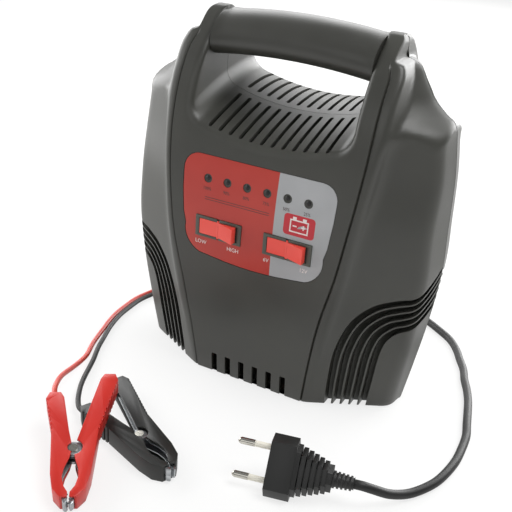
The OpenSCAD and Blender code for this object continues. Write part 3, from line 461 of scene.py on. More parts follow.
mains_route = [(32, 84.5, 22), (32, 93.5, 22), (33, 103.5, 15), (39, 111.5, 7), (49, 115.5, 2.7), (62, 112.5, 2.7),
               (77, 105, 2.7), (90, 96, 2.7), (101, 87, 2.7), (109, 76, 2.7), (115, 64, 2.7), (121, 52, 2.7),
               (125, 40, 2.7), (130, 28, 2.7), (134, 16, 2.7), (137, 4, 2.7), (140, -9, 2.7), (143, -22, 2.7),
               (144, -36, 2.7), (144, -50, 2.7), (142, -64, 2.7), (139, -75, 2.7), (134, -85, 2.7),
               (128, -94, 3.5), (121, -103, 7), (114, -110, 12), plug_place @ Vector((PLUG_LENGTH + 5, 0, 0)),
               plug_place @ Vector((PLUG_LENGTH, 0, 0))]
twin_route = [(-32, 70.5, 22), (-32, 77.5, 22), (-33, 84.5, 17), (-37, 91.5, 10), (-45, 97, 4), (-56, 100, 1.65),
              (-69, 98, 1.65), (-84, 91, 1.65), (-97, 79, 1.65), (-108, 62, 1.65), (-115, 42, 1.65),
              (-120, 22, 1.65), (-123, 8, 1.65), (-123, -6, 1.65), (-122, -20, 1.65), (-119, -34, 1.65),
              (-115, -47, 1.65)]
red_tail = [(-117, -48, 1.65), (-112, -64, 1.65), (-106, -78, 2.5), (-102, -92, 5), (-97, -107, 10),
            (-91, -122, 16), (-84, -135, 20.5), in_handle(red_place, 5), in_handle(red_place, -9.8)]
black_tail = [(-113, -46, 1.65), (-107, -63, 1.65), (-100, -78, 1.65), (-94, -92, 2.5), (-88, -105, 4),
              (-80, -119, 5.5), in_handle(black_place, 5), in_handle(black_place, -9.8)]
PAIR_GAP = 1.8


def lead_route(side, tail):
    """One lead: first beside the other on the floor, then alone to its clamp."""
    twin = beside(smooth(twin_route, 2), side * PAIR_GAP)
    return [Vector((p.x, p.y, max(p.z, ON_FLOOR))) for p in twin[:-1] + smooth(tail, 2)[1:]]


def cord_piece(name, node, points, diameter, material):
    """A cord as a curve of one open spline, in metres, that stands for the CAD tube."""
    curve = bpy.data.curves.new(name, "CURVE")
    curve.dimensions = "3D"
    curve.bevel_depth = diameter * MM / 2
    curve.bevel_resolution = 6
    curve.use_fill_caps = True
    spline = curve.splines.new("POLY")
    spline.points.add(len(points) - 1)
    for target, point in zip(spline.points, points):
        target.co = (*(point * MM), 1)
    spline.use_smooth = True
    curve.materials.append(material)
    obj = bpy.data.objects.new(name, curve)
    bpy.context.scene.collection.objects.link(obj)
    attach(obj, "charger")
    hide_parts(node)
    return obj


mains_line = [Vector((p.x, p.y, max(p.z, MAINS_D / 2))) for p in smooth(mains_route, 6)]
mains_cord = cord_piece("mains_cord", "mains_lead", mains_line, MAINS_D, cord_pvc)
red_cord = cord_piece("red_cord", "red_lead", smooth(lead_route(1, red_tail), 3), LEAD_D, red_pvc)
black_cord = cord_piece("black_cord", "black_lead", smooth(lead_route(-1, black_tail), 3), LEAD_D, cord_pvc)

# ======== Case: outlines across the front (value, height) and depths in front of the split plane ========

SEAM = 0.15                 # half of the parting gap between the shells
WALL = 2.5
HALF_HAND = 52              # half width of the hand opening
HOOP_X = 63.5               # outer side of the hoops
CASE_H = 234
SADDLE_Z, SADDLE_R = 178, 150
CREST_RISE, CREST_Y = 3.5, 30      # the saddle's crest in the rear half
CORNER_R = 11               # between the saddle and the hoops
SWEEP = math.tan(math.radians(28.5))
DRAFT = math.tan(math.radians(9))
DOME_H, DOME_D = 20, 31
DOME_ACROSS, DOME_UP = 0.725, 0.689
DOME_FROM = 0.1             # where the dome's own points start, past the curve at the lip's foot
SHOULDER_Z = 190
LIP_TOP = 222
REAR_DEEPER = 1.038         # the rear shell is 2 mm deeper than the front one

front_at = reader([(43, 0), (46.5, 30), (50, 60), (52, 95), (51.7, 122), (49, 150), (44, 176), (37.5, 196),
                   (28, 212), (16, 225), (6, 232.8), (0, 234)])
groove_at = reader([(39, 0), (42.8, 33), (48, 66), (55.3, 99), (59.9, 132), (62.3, 155), (63.5, 180), (63.4, 234)])
lip_low = [(44, 0), (49.5, 33), (56, 66), (62, 99), (66.2, 132), (69, 155), (71.3, 180)]
hoop_top = [(63.5, 230), (62.3, 232.8), (59.5, 234)]
front_lip = reader(lip_low + [(72.1, 195), (71.8, 209), (70.7, 216), (68, 220.5), (63.5, 222)] + hoop_top)
rear_lip = reader(lip_low + [(71.1, 190), (69.1, 199), (66.5, 207), (63.5, 213)] + hoop_top)
# The half being built: its lip, and the sign and scale of its depth
half = {"lip": front_lip, "way": -1}
side_at = reader([(93, 0), (97.5, 28), (102, 60), (105, 95), (104, 124), (102.8, 156), (99.8, 180), (98.4, 186.5),
                  (96.3, 190), (92.7, 192.3), (86.7, 197.3), (83.1, 201.2), (79.9, 206.4), (76.6, 211.5),
                  (74, 216), (70.1, 219.5), (50, 226), (30, 234)])
crease_at = reader([(12, 0), (18.1, 31), (23.7, 64), (27, 96), (26.5, 129), (21, 165), (18, 225), (18, 234)])

ROWS = [0] + [4 + 4 * k for k in range(45)] + [
    182.5, 185, 187, 189, 190.6, 192, 193.6, 195.5, 198, 200.5, 203, 205.5, 208, 210, 212, 214, 216, 217.7, 219,
    220.2, 221.2, 222, 223.5, 225.5, 227.7, 229.6, 231.2, 232.4, 233.2, 233.7, 234]
BASE_ROUND = 0.9
WING_SPANS, CREASE_STEPS, SIDE_SPANS = 8, 8, 5
WING_POINTS = WING_SPANS + CREASE_STEPS + SIDE_SPANS + 1
TUNNEL_SPANS, RIM_STEPS, PANEL_SPANS = 10, 7, 12
BASE_COLUMNS = 7            # rows of the panel that run down to the base instead of out to the groove
BASE_SHARE = 0.45           # how much of the saddle's half width they start from
WALL_U = 2.1                # where the rows of the opening's upright wall start


def lip_lean(z):
    """How far the lip's side leans out from its edge to its middle, and again to its foot."""
    return 1.6 - 1.3 * ease(z, 200, 216)


def lip_foot(z):
    return half["lip"](z) + lip_lean(z)


def wing_depth(x, z, t):
    """The swept wing, as a depth at a place across."""
    return crease_at(z) - t * 1.14 + (97 - x) * SWEEP


def flat_wing(z, t):
    """The wing and the side face at one height, from the lip's foot to the seam, with a rounded crease."""
    side = side_at(z) - t
    foot = Vector((lip_foot(z) - t, wing_depth(lip_foot(z) - t, z, t)))
    depth = wing_depth(side, z, t) / (1 - SWEEP * DRAFT)
    corner = Vector((side - DRAFT * depth, depth))
    seam = Vector((side, 0))
    return foot, toward(corner, foot, 6.5), corner, toward(corner, seam, 6.5), seam


def domed_wing(z, t):
    """The shoulder at one height: a pointed quarter arch from the lip's foot over to the seam."""
    side = side_at(z) - t
    foot_x = lip_foot(z) - t
    below = max(0, SHOULDER_Z - z) * DOME_UP

    def turn_at(drop):
        return math.acos(max(1 - drop / DOME_H, 0) ** (2 / 3))

    turn_end, turn_foot = turn_at(below), turn_at((side - foot_x) * DOME_ACROSS + below)
    line = []
    for k in range(33):
        turn = turn_foot + (turn_end - turn_foot) * k / 32
        across = (DOME_H * (1 - math.cos(turn) ** 1.5) - below) / DOME_ACROSS
        depth = (DOME_D - t) * math.sin(turn) ** 1.5
        line.append(Vector((side - across, min(depth, wing_depth(side - across, z, t)))))
    return line + [Vector((side, 0))]


def wing_line(z, t):
    """WING_POINTS points from near the lip's foot to the seam, and the foot itself."""
    if side_at(z) - half["lip"](z) < 0.9:
        end = Vector((half["lip"](z) - t, 0))
        return end, [end] * WING_POINTS
    foot, crease_in, corner, crease_out, seam = flat_wing(z, t)
    start = toward(foot, crease_in, 5, 0.3)
    flat = [start.lerp(crease_in, k / WING_SPANS) for k in range(WING_SPANS)]
    flat += bend(crease_in, corner, crease_out, CREASE_STEPS)
    flat += [crease_out.lerp(seam, (k + 1) / SIDE_SPANS) for k in range(SIDE_SPANS)]
    domed_share = ease(z, 174, 191)
    if domed_share == 0:
        return foot, flat
    dome = domed_wing(z, t)
    shares = [DOME_FROM + (1 - DOME_FROM) * k / (WING_POINTS - 1) for k in range(WING_POINTS)]
    line = [a.lerp(b, domed_share) for a, b in zip(flat, resampled(dome, shares))]
    return foot.lerp(dome[0], domed_share), line


def edge_x(z, t):
    """Where the panel ends beside the groove, or beside the hoop's outer edge above the lip."""
    beside_groove = groove_at(z) - 0.6
    return beside_groove + (HOOP_X - 3 - beside_groove) * ease(z, 211, LIP_TOP) - 0.7 * t * ease(z, 0, LIP_TOP)


def side_line(z, t):
    """The section from the groove over the lip, the wing, the crease and the side, as (x, depth)."""
    front = max(front_at(z) - t, 0)
    start = edge_x(z, t)
    lip = max(half["lip"](z) - lip_lean(z) - t, start + 0.3)
    below_hoop = 1 - ease(z, 214, LIP_TOP)
    groove_depth = (2 if t == 0 else 0) * below_hoop
    lip_front = max(front - 1.5 * below_hoop, 0)
    step_out = min(0.6, (lip - start) / 4)
    corners = [Vector((start, front)), Vector((start + step_out, max(front - groove_depth, 0))),
               Vector((start + 2 * step_out, max(front - 0.25 * groove_depth, 0))), Vector((lip, lip_front))]
    foot, wing = wing_line(z, t)
    foot = Vector((max(foot.x, lip), min(foot.y, lip_front)))
    line = [corners[0]]
    line += bend(toward(corners[1], corners[0], 0.2), corners[1], toward(corners[1], corners[2], 0.2), 2)
    line += bend(toward(corners[2], corners[1], 0.6), corners[2], toward(corners[2], corners[3], 1.6), 4)
    line += bend(toward(corners[3], corners[2], 4), corners[3], toward(corners[3], foot, 4), 6)
    line += bend(toward(foot, corners[3], 5), foot, wing[0], 5)
    return line + wing[1:]


def add_side(bm, rows, t, seam):
    """All that lies beside the groove; the outer surface ends in a small chamfer at the seam."""
    lines = []
    for z in rows:
        line = side_line(z, t)
        if t == 0:
            chamfer = min(0.45, line[-2].y)
            line = line[:-1] + [Vector((line[-1].x, max(chamfer, SEAM))), Vector((line[-1].x - 0.4, SEAM))]
        lines.append([Vector((p.x, -max(p.y, seam), z)) for p in line])
    add_sheet(bm, len(lines[0]) - 1, len(rows) - 1, lambda i, j: lines[j][i])


def saddle_height(x, depth, t):
    """The saddle under the hand: an arch across, and a crest from front to back."""
    behind = half["way"] * max(depth, 0)
    radius = SADDLE_R + t + CREST_RISE * ((abs(behind - CREST_Y) / CREST_Y) ** 1.7 - 1)
    return SADDLE_Z + SADDLE_R - math.sqrt(radius ** 2 - x * x)


CORNER_X = HALF_HAND - CORNER_R
CORNER_FROM = math.asin(CORNER_X / (SADDLE_R - CORNER_R))
SADDLE_END = SADDLE_R * math.sin(CORNER_FROM)


def corner_height(depth):
    """Height of the centre of the round corner between the saddle and the hoop."""
    return saddle_height(SADDLE_END, depth, 0) + CORNER_R * math.cos(CORNER_FROM)


def tunnel_point(u, depth, t):
    """A point of the hand opening at a depth: u runs 0..1 over the saddle, 1..2 round the corner, 2..3 up."""
    if u <= 1:
        x = (SADDLE_END + t * math.sin(CORNER_FROM)) * u
        return Vector((x, saddle_height(x, depth, t)))
    turn = CORNER_FROM + (math.pi / 2 - CORNER_FROM) * min(u - 1, 1)
    height = corner_height(depth)
    point = Vector((CORNER_X + (CORNER_R + t) * math.sin(turn), height - (CORNER_R + t) * math.cos(turn)))
    if u > 2:
        point.y = height + (CASE_H - t - height) * (u - 2)
    return point


def tunnel_way_out(u):
    """The direction away from the opening, across its edge."""
    if u <= 1:
        turn = math.asin(min(SADDLE_END * u / SADDLE_R, 1))
    else:
        turn = CORNER_FROM + (math.pi / 2 - CORNER_FROM) * min(u - 1, 1)
    return Vector((math.sin(turn), -math.cos(turn)))


def rim_place(u, t):
    """The sharp edge between the opening and the front: its depth and its point."""
    depth = 40.0
    for _ in range(12):
        point = tunnel_point(u, depth, t)
        depth = max(front_at(point.y) - t, 0)
    return depth, tunnel_point(u, depth, t)


def panel_rows(rows, t):
    """(u, end point) for each row of the panel: first those to the base, then those to the groove."""
    found = []
    for k in range(BASE_COLUMNS):
        share = k / BASE_COLUMNS
        found.append((BASE_SHARE * share, Vector((edge_x(rows[0], t) * share, rows[0]))))
    wall_from = corner_height(front_at(SADDLE_Z) - t) + 6
    below_wall = sum(z < wall_from for z in rows)
    for k, z in enumerate(rows):
        low = corner_height(max(front_at(z) - t, 0))
        up_wall = 2 + (z - low) / max(CASE_H - t - low, 1e-6)
        u = BASE_SHARE + (WALL_U - BASE_SHARE) * k / below_wall if z < wall_from else max(up_wall, WALL_U)
        found.append((min(u, 3), Vector((edge_x(z, t), z))))
    return found


def add_panel(bm, rows, t, seam):
    """Half of the opening, its rounded rim and the panel, in rows from the seam out to the groove or base."""
    lines = []
    for u, end in panel_rows(rows, t):
        depth, rim = rim_place(u, t)
        soft = 4.5 if t == 0 else 1.5
        reach = min(soft, 0.45 * depth)
        inner = tunnel_point(u, depth - reach, t)
        out = tunnel_way_out(u)
        outer = rim + out * min(soft, 0.45 * max((end - rim).dot(out), 0.01))
        line = []
        for k in range(TUNNEL_SPANS + 1):
            at = seam + max(depth - reach - seam, 0) * k / TUNNEL_SPANS
            point = tunnel_point(u, at, t)
            line.append(Vector((point.x, -at, point.y)))
        a = Vector((inner.x, -(depth - reach), inner.y))
        b = Vector((rim.x, -depth, rim.y))
        c = Vector((outer.x, -max(front_at(outer.y) - t, 0), outer.y))
        line += bend(a, b, c, RIM_STEPS)[1:]
        for k in range(1, PANEL_SPANS + 1):
            point = outer.lerp(end, k / PANEL_SPANS)
            line.append(Vector((point.x, -max(front_at(point.y) - t, 0), point.y)))
        lines.append([Vector((p.x, min(p.y, -seam), p.z)) for p in line])
    add_sheet(bm, len(lines[0]) - 1, len(lines) - 1, lambda i, j: lines[j][i])


def case_solid(t=0.0, seam=SEAM):
    """The front half of the case as a closed solid, inset by t, from the front back to the seam plane."""
    rows = ROWS if t == 0 else [t + (CASE_H - 2 * t) * z / CASE_H for z in ROWS]
    bm = bmesh.new()
    add_side(bm, rows, t, seam)
    add_panel(bm, rows, t, seam)
    tidy(bm)
    bmesh.ops.recalc_face_normals(bm, faces=bm.faces)
    bm = mirrored_too(bm)
    tidy(bm)
    close_back(bm)
    return bm


def close_back(bm):
    """Closes the solid with a flat base and a flat back in the seam plane."""
    base_z = min(v.co.z for v in bm.verts)
    rims = [e for e in bm.edges if e.is_boundary]
    base = [e for e in rims if all(v.co.z < base_z + 0.001 for v in e.verts)]
    back = [e for e in rims if e not in base]
    ends = list({v for e in base for v in e.verts} & {v for e in back for v in e.verts})
    bridge = bmesh.ops.contextual_create(bm, geom=ends)["edges"]
    bmesh.ops.contextual_create(bm, geom=base + bridge)
    bmesh.ops.contextual_create(bm, geom=back + bridge)
    bmesh.ops.recalc_face_normals(bm, faces=bm.faces)
    if bm.calc_volume(signed=True) < 0:
        bmesh.ops.reverse_faces(bm, faces=bm.faces)


def round_base(bm):
    """Breaks the edge that the case stands on."""
    foot = [e for e in bm.edges if max(v.co.z for v in e.verts) < 0.001 and max(v.co.y for v in e.verts) < -0.5
            and e.calc_face_angle(0) > 1]
    bmesh.ops.bevel(bm, geom=foot, offset=BASE_ROUND, segments=2, profile=0.5, affect="EDGES", material=-1)


# ======== The two shells: vents, openings and posts ========

LED_PITCH, LED_Z, LED_R = 13.4, 140, 2.5
SWITCH_X, SWITCH_Z = 23.5, 109
BEZEL_L, BEZEL_H = 31.7, 13.6
LABEL_IN = 0.5
CHANNELS, FIN, CHANNEL_D = 5, 1.0, 6
SCREWS = [(-86.8, 36), (86.8, 36), (-82, 148), (82, 148)]
SCREW_SEAT = 10
BOARD_POSTS = [(-41, 132), (41, 132), (-41, 149), (41, 149)]
SINK_POSTS = [(-36, 102), (36, 102), (-36, 138), (36, 138)]
GLAND_X, GLAND_Z, GLAND_SEAT = 32, 22, 45.5
FAR = 90                    # beyond the case in every depth
SLOT_HALF, SLOT_START = 1.2, 4.7
FRONT_REACH, REAR_REACH = 43, 39.5
NOTCH_HALF, NOTCH_TOP = 2.05, 15.2


def band_edge(shares):
    """An edge of the vent band; a share of 0 lies at the panel's foot and 1 at the case's widest."""
    return smooth([(44 + share * 61, z) for share, z in shares], 5)


band_inner = band_edge([(0.134, -2), (0.16, 22), (0.21, 46), (0.336, 68), (0.521, 80.5), (0.723, 85.5),
                        (0.874, 87.2), (0.946, 91), (0.995, 100), (1.025, 110)])
band_outer = band_edge([(0.538, -2), (0.588, 22), (0.63, 42), (0.681, 54), (0.773, 60.6), (0.866, 62.6),
                        (0.924, 65.2), (0.968, 71), (1.008, 82), (1.042, 94)])


def ribbon(left, right, front, back):
    """A solid between two lines drawn across the case, from the depth front to the depth back."""
    return loft([[(a.x, -front, a.y), (b.x, -front, b.y), (b.x, -back, b.y), (a.x, -back, a.y)]
                 for a, b in zip(left, right)])


def band_strip(first, last, widen, back):
    """Two strips of the vent band, between two shares of its width, cut in from the front."""
    lines = [], []
    for inner, outer in zip(band_inner, band_outer):
        a, b = inner.lerp(outer, first), inner.lerp(outer, last)
        out = (b - a).normalized() * widen
        lines[0].append(a - out)
        lines[1].append(b + out)
    return mirrored_too(ribbon(*lines, FAR, back))


def wing_core(t):
    """What lies deeper than t under the lower part of both wings."""
    sections = []
    for z in [4 * k for k in range(-1, 33)]:
        foot, crease_in, corner, crease_out, seam = flat_wing(max(z, 0), t)
        inner = Vector((30, crease_in.y + (crease_in.x - 30) * SWEEP))
        line = [inner] + bend(crease_in, corner, crease_out, CREASE_STEPS) + [seam]
        sections.append([(30, 1.5, z)] + [(q.x, -q.y, z) for q in line] + [(seam.x, 1.5, z)])
    return mirrored_too(loft(sections))


def channel_cutter():
    """The channels of both vent bands, with the fins left between them."""
    strips = [band_strip(k / CHANNELS, (k + 1) / CHANNELS, -FIN / 2, 0.8) for k in range(CHANNELS)]
    return combined(joined(*strips), wing_core(CHANNEL_D), "DIFFERENCE")


def row_of(count, pitch):
    """Places in a row, evenly about the middle."""
    return [(k - (count - 1) / 2) * pitch for k in range(count)]


def slot_cutters(reach):
    """The slots through the saddle and the notches at the panel's foot."""
    slots = [box_mesh((x - SLOT_HALF, -reach, 156), (x + SLOT_HALF, -SLOT_START, 205), 1.15, 2, 4)
             for x in row_of(12, 7)]
    notches = [box_mesh((x - NOTCH_HALF, -FAR, -3), (x + NOTCH_HALF, -36, NOTCH_TOP), 0.8, 1, 3)
               for x in row_of(6, 10.2)]
    return joined(*slots, *notches)


led_x = row_of(6, LED_PITCH)


def bar_back(x, z, radius, start, end):
    """A round bar along Y."""
    return bar_mesh(radius, (x, start, z), (x, end, z))


def switch_windows(back, corner=0.0):
    """Boxes through which the two switch bezels pass."""
    across, up = BEZEL_L / 2 + 0.15, BEZEL_H / 2 + 0.15
    return [box_mesh((x - across, -FAR, SWITCH_Z - up), (x + across, back, SWITCH_Z + up), corner, 1, 3)
            for x in (-SWITCH_X, SWITCH_X)]


def label_outline(grow):
    """The label's edge, as points across the panel: straight top, tapered sides and a hanging belly."""
    def turn(x, z, radius, start, end):
        steps = 8
        angles = [math.radians(start + (end - start) * k / steps) for k in range(steps + 1)]
        return [Vector((x + (radius + grow) * math.cos(a), z + (radius + grow) * math.sin(a))) for a in angles]
    right = (turn(31, 106, 16, 290, 370) + [Vector((48.6 + grow, 116)), Vector((50.2 + grow, 132))]
             + turn(40.6, 144, 10, 0, 90))
    belly = [Vector((0, 88 - grow)), Vector((9, 88.2 - grow)), Vector((18, 88.8 - grow))]
    half = belly + right
    return half, [Vector((-p.x, p.y)) for p in half]


def label_prism(grow, front, back):
    right, left = label_outline(grow)
    return ribbon(left, right, front, back)


def panel_slab(front, back):
    """The layer between two offsets from the panel's surface, wider and taller than the label."""
    side, heights = 58, [70 + 2.5 * k for k in range(41)]
    return loft([[(-side, -front_at(z) - front, z), (side, -front_at(z) - front, z),
                  (side, -front_at(z) - back, z), (-side, -front_at(z) - back, z)] for z in heights])


def vented_half(reach):
    """One half with its wall, vents and channels, before its openings and posts."""
    outer = case_solid()
    round_base(outer)
    outer = cut(outer, channel_cutter())
    return cut(outer, slot_cutters(reach))


def hollow_half():
    """What is empty inside one half: the channels keep a wall behind them."""
    floor = combined(band_strip(0, 1, WALL, -2), wing_core(CHANNEL_D + WALL), "DIFFERENCE")
    return cut(case_solid(WALL, -1.5), floor)


def rear(bm):
    """A front half turned into a rear one."""
    return moved(bm, Matrix.Scale(-REAR_DEEPER, 4, (0, 1, 0)))


def front_case(vented, hollow):
    """The front half with the label's recess, the indicator holes and the switch windows."""
    posts = [bar_back(x, z, 3.2, -FAR, -41.7) for x, z in BOARD_POSTS]
    bosses = [bar_back(x, z, 4, -FAR, 1) for x, z in SCREWS]
    shell = cut(vented, cut(hollow, *posts, *bosses))
    recess = combined(label_prism(0.45, FAR, 30), panel_slab(3, -LABEL_IN), "INTERSECT")
    shell = cut(shell, recess)
    holes = [bar_back(x, LED_Z, LED_R + 0.2, -FAR, -44) for x in led_x]
    return cut(shell, *holes, *switch_windows(-44, 0.8))


def rear_case(vented, hollow):
    """The rear half with its screw wells, posts and cord seats."""
    posts = [bar_back(x, z, 6.2, -1, FAR) for x, z in SCREWS]
    posts += [bar_back(x, z, 3.5, 36, FAR) for x, z in SINK_POSTS]
    posts += [bar_back(x, GLAND_Z, 11, 41.5, FAR) for x in (-GLAND_X, GLAND_X)]
    shell = cut(rear(vented), cut(rear(hollow), *posts))
    wells = [bar_back(x, z, 4.6, SCREW_SEAT, FAR) for x, z in SCREWS]
    seats = [bar_back(x, GLAND_Z, 9.2, GLAND_SEAT, FAR) for x in (-GLAND_X, GLAND_X)]
    shell = cut(shell, *wells, *seats)
    bores = [bar_back(x, z, 2.05, -5, FAR) for x, z in SCREWS]
    bores += [bar_back(x, GLAND_Z, 6.55, 20, FAR) for x in (-GLAND_X, GLAND_X)]
    return cut(shell, *bores)


finished("front_case", front_case(vented_half(FRONT_REACH), hollow_half()), case_plastic,
         stands_for=["front_shell"])
half.update(lip=rear_lip, way=REAR_DEEPER)
finished("rear_case", rear_case(vented_half(REAR_REACH), hollow_half()), case_plastic,
         stands_for=["rear_shell"])

# ======== More materials ========


def ridges(tree, place, period_mm, direction):
    """A 0..1 wave with a ridge every period_mm along an axis."""
    scale = math.tau / 20 / (period_mm * MM)
    wave = add(tree, "TexWave", {"Vector": place, "Scale": scale}, wave_type="BANDS", bands_direction=direction)
    return wave.outputs["Fac"]


def metal(name, dark, light, roughness, scratch_mm):
    """A bare or plated metal with fine marks that run along X."""
    material, tree, shader, place = surface(name, light, roughness, 1.0)
    stretch = add(tree, "Mapping", {"Vector": place, "Scale": (0.12, 1, 1)}).outputs["Vector"]
    marks = speckle(tree, stretch, scratch_mm, 4.0)
    painted(tree, shader, ranged(tree, marks, 0, 1), dark, light)
    tree.links.new(ranged(tree, marks, roughness + 0.08, roughness - 0.05), shader.inputs["Roughness"])
    bumped(tree, shader, marks, 0.004)
    return material


def printed_label():
    """Screen-printed polycarbonate film: red, with a grey field on the right of a straight edge."""
    material, tree, shader, place = surface("printed_film", "#b5392f", 0.33)
    x = add(tree, "SeparateXYZ", {0: place}).outputs["X"]
    grey = ranged(tree, x, 0, 1, GREY_FROM * MM - 0.00005, GREY_FROM * MM + 0.00005)
    cloud = ranged(tree, speckle(tree, place, 30, 2.0), 0, 1)
    red = mixed(tree, cloud, "#ad3026", "#b5382d")
    silver = mixed(tree, cloud, "#9c9d9f", "#a8a9ab")
    painted(tree, shader, grey, red, silver)
    fine = speckle(tree, place, 0.5, 2.0)
    tree.links.new(ranged(tree, fine, 0.3, 0.37), shader.inputs["Roughness"])
    bumped(tree, shader, fine, 0.004)
    return material


def wound(name, dark, light, period_mm):
    """Enamelled copper wire, wound turn beside turn, with painted shade in the grooves between the wires and a
    painted highlight on each wire's crown.
    """
    material, tree, shader, place = surface(name, light, 0.28, 0.85)
    turns_and_shading = ridges(tree, place, period_mm, "Z")
    # Along the winding's ridges: painted shade in the grooves and a painted highlight on the crowns
    painted(tree, shader, turns_and_shading, dark, light)
    under = bumped(tree, shader, turns_and_shading, 0.15)
    bumped(tree, shader, speckle(tree, place, 3, 2.0), 0.05, 0.6, under)
    return material


def laminated():
    """Stamped silicon steel sheets, 0.5 mm each, with a blue-grey scale and a trace of rust."""
    material, tree, shader, place = surface("silicon_steel", "#6d6f72", 0.45, 0.8)
    sheets = ridges(tree, place, 0.5, "Y")
    stain = ranged(tree, speckle(tree, place, 12, 4.0), 0, 1, 0.55, 0.75)
    base = mixed(tree, sheets, "#4d5054", "#85888c")
    painted(tree, shader, stain, base, "#7c6552")
    bumped(tree, shader, sheets, 0.08)
    return material


def circuit_board():
    """Glass epoxy under green solder mask, with raised copper tracks."""
    material, tree, shader, place = surface("fr4_board", "#23603a", 0.3)
    cells = add(tree, "TexVoronoi", {"Vector": place, "Scale": 1 / (6 * MM)}, distance="CHEBYCHEV",
                feature="DISTANCE_TO_EDGE").outputs["Distance"]
    track = ranged(tree, cells, 1, 0, 0.02, 0.06)
    painted(tree, shader, track, "#1f5a35", "#3c8a4c")
    bumped(tree, shader, track, 0.035)
    return material


GREY_FROM = 13.1
label_film = printed_label()
# Bright red ABS of the rockers, half shiny
rocker_abs = moulded("rocker_red_abs", "#e3453a", "#ec5145", 0.34, 1.2, 0.006, 0.03)
# Dark grey nylon of the switch frames
bezel_nylon = moulded("switch_nylon", "#4a4c45", "#52544c", 0.5, 0.6, 0.02)
# Smoked lens of the indicators
lens_epoxy = moulded("smoked_epoxy", "#070505", "#0c0808", 0.35, 4, 0.002, 0.03)
# PVC dipped covers of the clamps
clamp_red_pvc = moulded("clamp_red_pvc", "#c01e13", "#cf2a1b", 0.36, 1.6, 0.02)
clamp_black_pvc = moulded("clamp_black_pvc", "#171816", "#20211f", 0.42, 1.6, 0.02)
# Hard black PVC of the plug and the glands
plug_pvc = moulded("plug_black_pvc", "#161615", "#1d1d1c", 0.45, 0.9, 0.02)
# Nickel on brass and on steel
nickel_plate = metal("nickel_plate", "#a9a69e", "#d2cfc6", 0.2, 1.2)
zinc_plate = metal("zinc_plate", "#8f9295", "#b8bbbd", 0.32, 1.5)
zinc_sheet = metal("zinc_sheet", "#9a9da0", "#c0c3c5", 0.36, 5)
aluminium = metal("mill_aluminium", "#a6a9ac", "#c9cccf", 0.34, 2.5)
spring_steel = metal("spring_steel", "#6e7072", "#a3a5a7", 0.25, 0.8)
brass = metal("terminal_brass", "#a8893f", "#d0b062", 0.28, 1.2)
# Natural nylon, slightly translucent
natural_nylon = moulded("natural_nylon", "#d9d4c4", "#ebe7da", 0.42, 2.0, 0.01)
# Black epoxy of the rectifier and the capacitors' sleeves
black_epoxy = moulded("black_epoxy", "#161616", "#222221", 0.42, 0.5, 0.02)
# Brown phenolic of the breaker
phenolic = moulded("brown_phenolic", "#5f2419", "#7a3224", 0.35, 1.5, 0.01)
wire_red = moulded("wire_red_pvc", "#b02a1e", "#c23a2b", 0.38, 1.2, 0.006)
wire_black = moulded("wire_black_pvc", "#1d1d1c", "#282827", 0.38, 1.2, 0.006)
# Inks of the label
dark_ink = moulded("dark_ink", "#43302d", "#4d3936", 0.5, 0.4, 0.003)
pale_ink = moulded("pale_ink", "#dcd0cc", "#e6dcd8", 0.5, 0.4, 0.003)
badge_ink = moulded("badge_red_ink", "#b4202c", "#bf2a36", 0.4, 0.4, 0.003)

# ======== Handle grip ========

GRIP_Z, GRIP_H, GRIP_RISE, GRIP_HALF = 206.5, 25.5, 3.5, 23.5
GRIP_BELLY, GRIP_FLAT = 9, 11.75


def grip_section(x):
    """The grip's outline at x: a domed top, a soft crease and a rounded underside."""
    arch = (HALF_HAND ** 2 + GRIP_RISE ** 2) / (2 * GRIP_RISE)
    low = GRIP_Z + GRIP_RISE - arch + math.sqrt(arch ** 2 - x * x)
    flare = 0.6 * ease(abs(x), HALF_HAND - 5, HALF_HAND)
    points = []
    for k in range(25):
        turn = math.pi * k / 24
        points.append(((GRIP_HALF + flare) * math.cos(turn),
                       GRIP_BELLY + (GRIP_H - GRIP_BELLY + flare) * math.sin(turn)))
    for side, steps in ((-1, range(1, 9)), (1, range(8, 0, -1))):
        for k in steps:
            turn = math.pi / 2 * k / 8
            across = GRIP_FLAT + (GRIP_HALF + flare - GRIP_FLAT) * math.cos(turn)
            points.append((side * across, GRIP_BELLY - GRIP_BELLY * math.sin(turn)))
    return [(x, y, low + h) for y, h in points]


def handle_grip():
    """The bar between the hoops, with a narrow first span at each end for the flare."""
    reach = HALF_HAND - 0.05
    even = reach - 0.4
    places = [-reach] + [even * (k / 20 - 1) for k in range(41)] + [reach]
    return loft([grip_section(x) for x in places])


finished("handle_bar", handle_grip(), grip_plastic, stands_for=["handle_grip"], sharp=50)

# ======== Label and its marks ========


def over_panel(bm, proud):
    """Drapes a flat piece, drawn in the X and Z of the panel with its thickness in Y, over the panel."""
    for v in bm.verts:
        v.co.y -= front_at(v.co.z) + proud
    return bm


def lettering(text, x, z, height):
    """A word on the panel, about its middle."""
    curve = bpy.data.curves.new("word", "FONT")
    curve.body = text
    curve.size = height / 0.7
    curve.align_x = "CENTER"
    curve.extrude = 0.03
    curve.resolution_u = 3
    obj = bpy.data.objects.new("word", curve)
    bpy.context.scene.collection.objects.link(obj)
    mesh = bpy.data.meshes.new_from_object(obj.evaluated_get(bpy.context.evaluated_depsgraph_get()))
    bm = bmesh.new()
    bm.from_mesh(mesh)
    bpy.data.objects.remove(obj)
    bpy.data.curves.remove(curve)
    bpy.data.meshes.remove(mesh)
    bmesh.ops.remove_doubles(bm, verts=bm.verts, dist=0.0001)
    bmesh.ops.scale(bm, vec=(0.92, 1, 1), verts=bm.verts)
    return moved(bm, Matrix.Translation((x, 0, z - height / 2)) @ Matrix.Rotation(math.pi / 2, 4, "X"))


def patch(x, z, width, height, corner=0.0):
    """A flat patch of ink."""
    half_ink = 0.03
    return box_mesh((x - width / 2, -half_ink, z - height / 2), (x + width / 2, half_ink, z + height / 2),
                    corner, 1, 4)


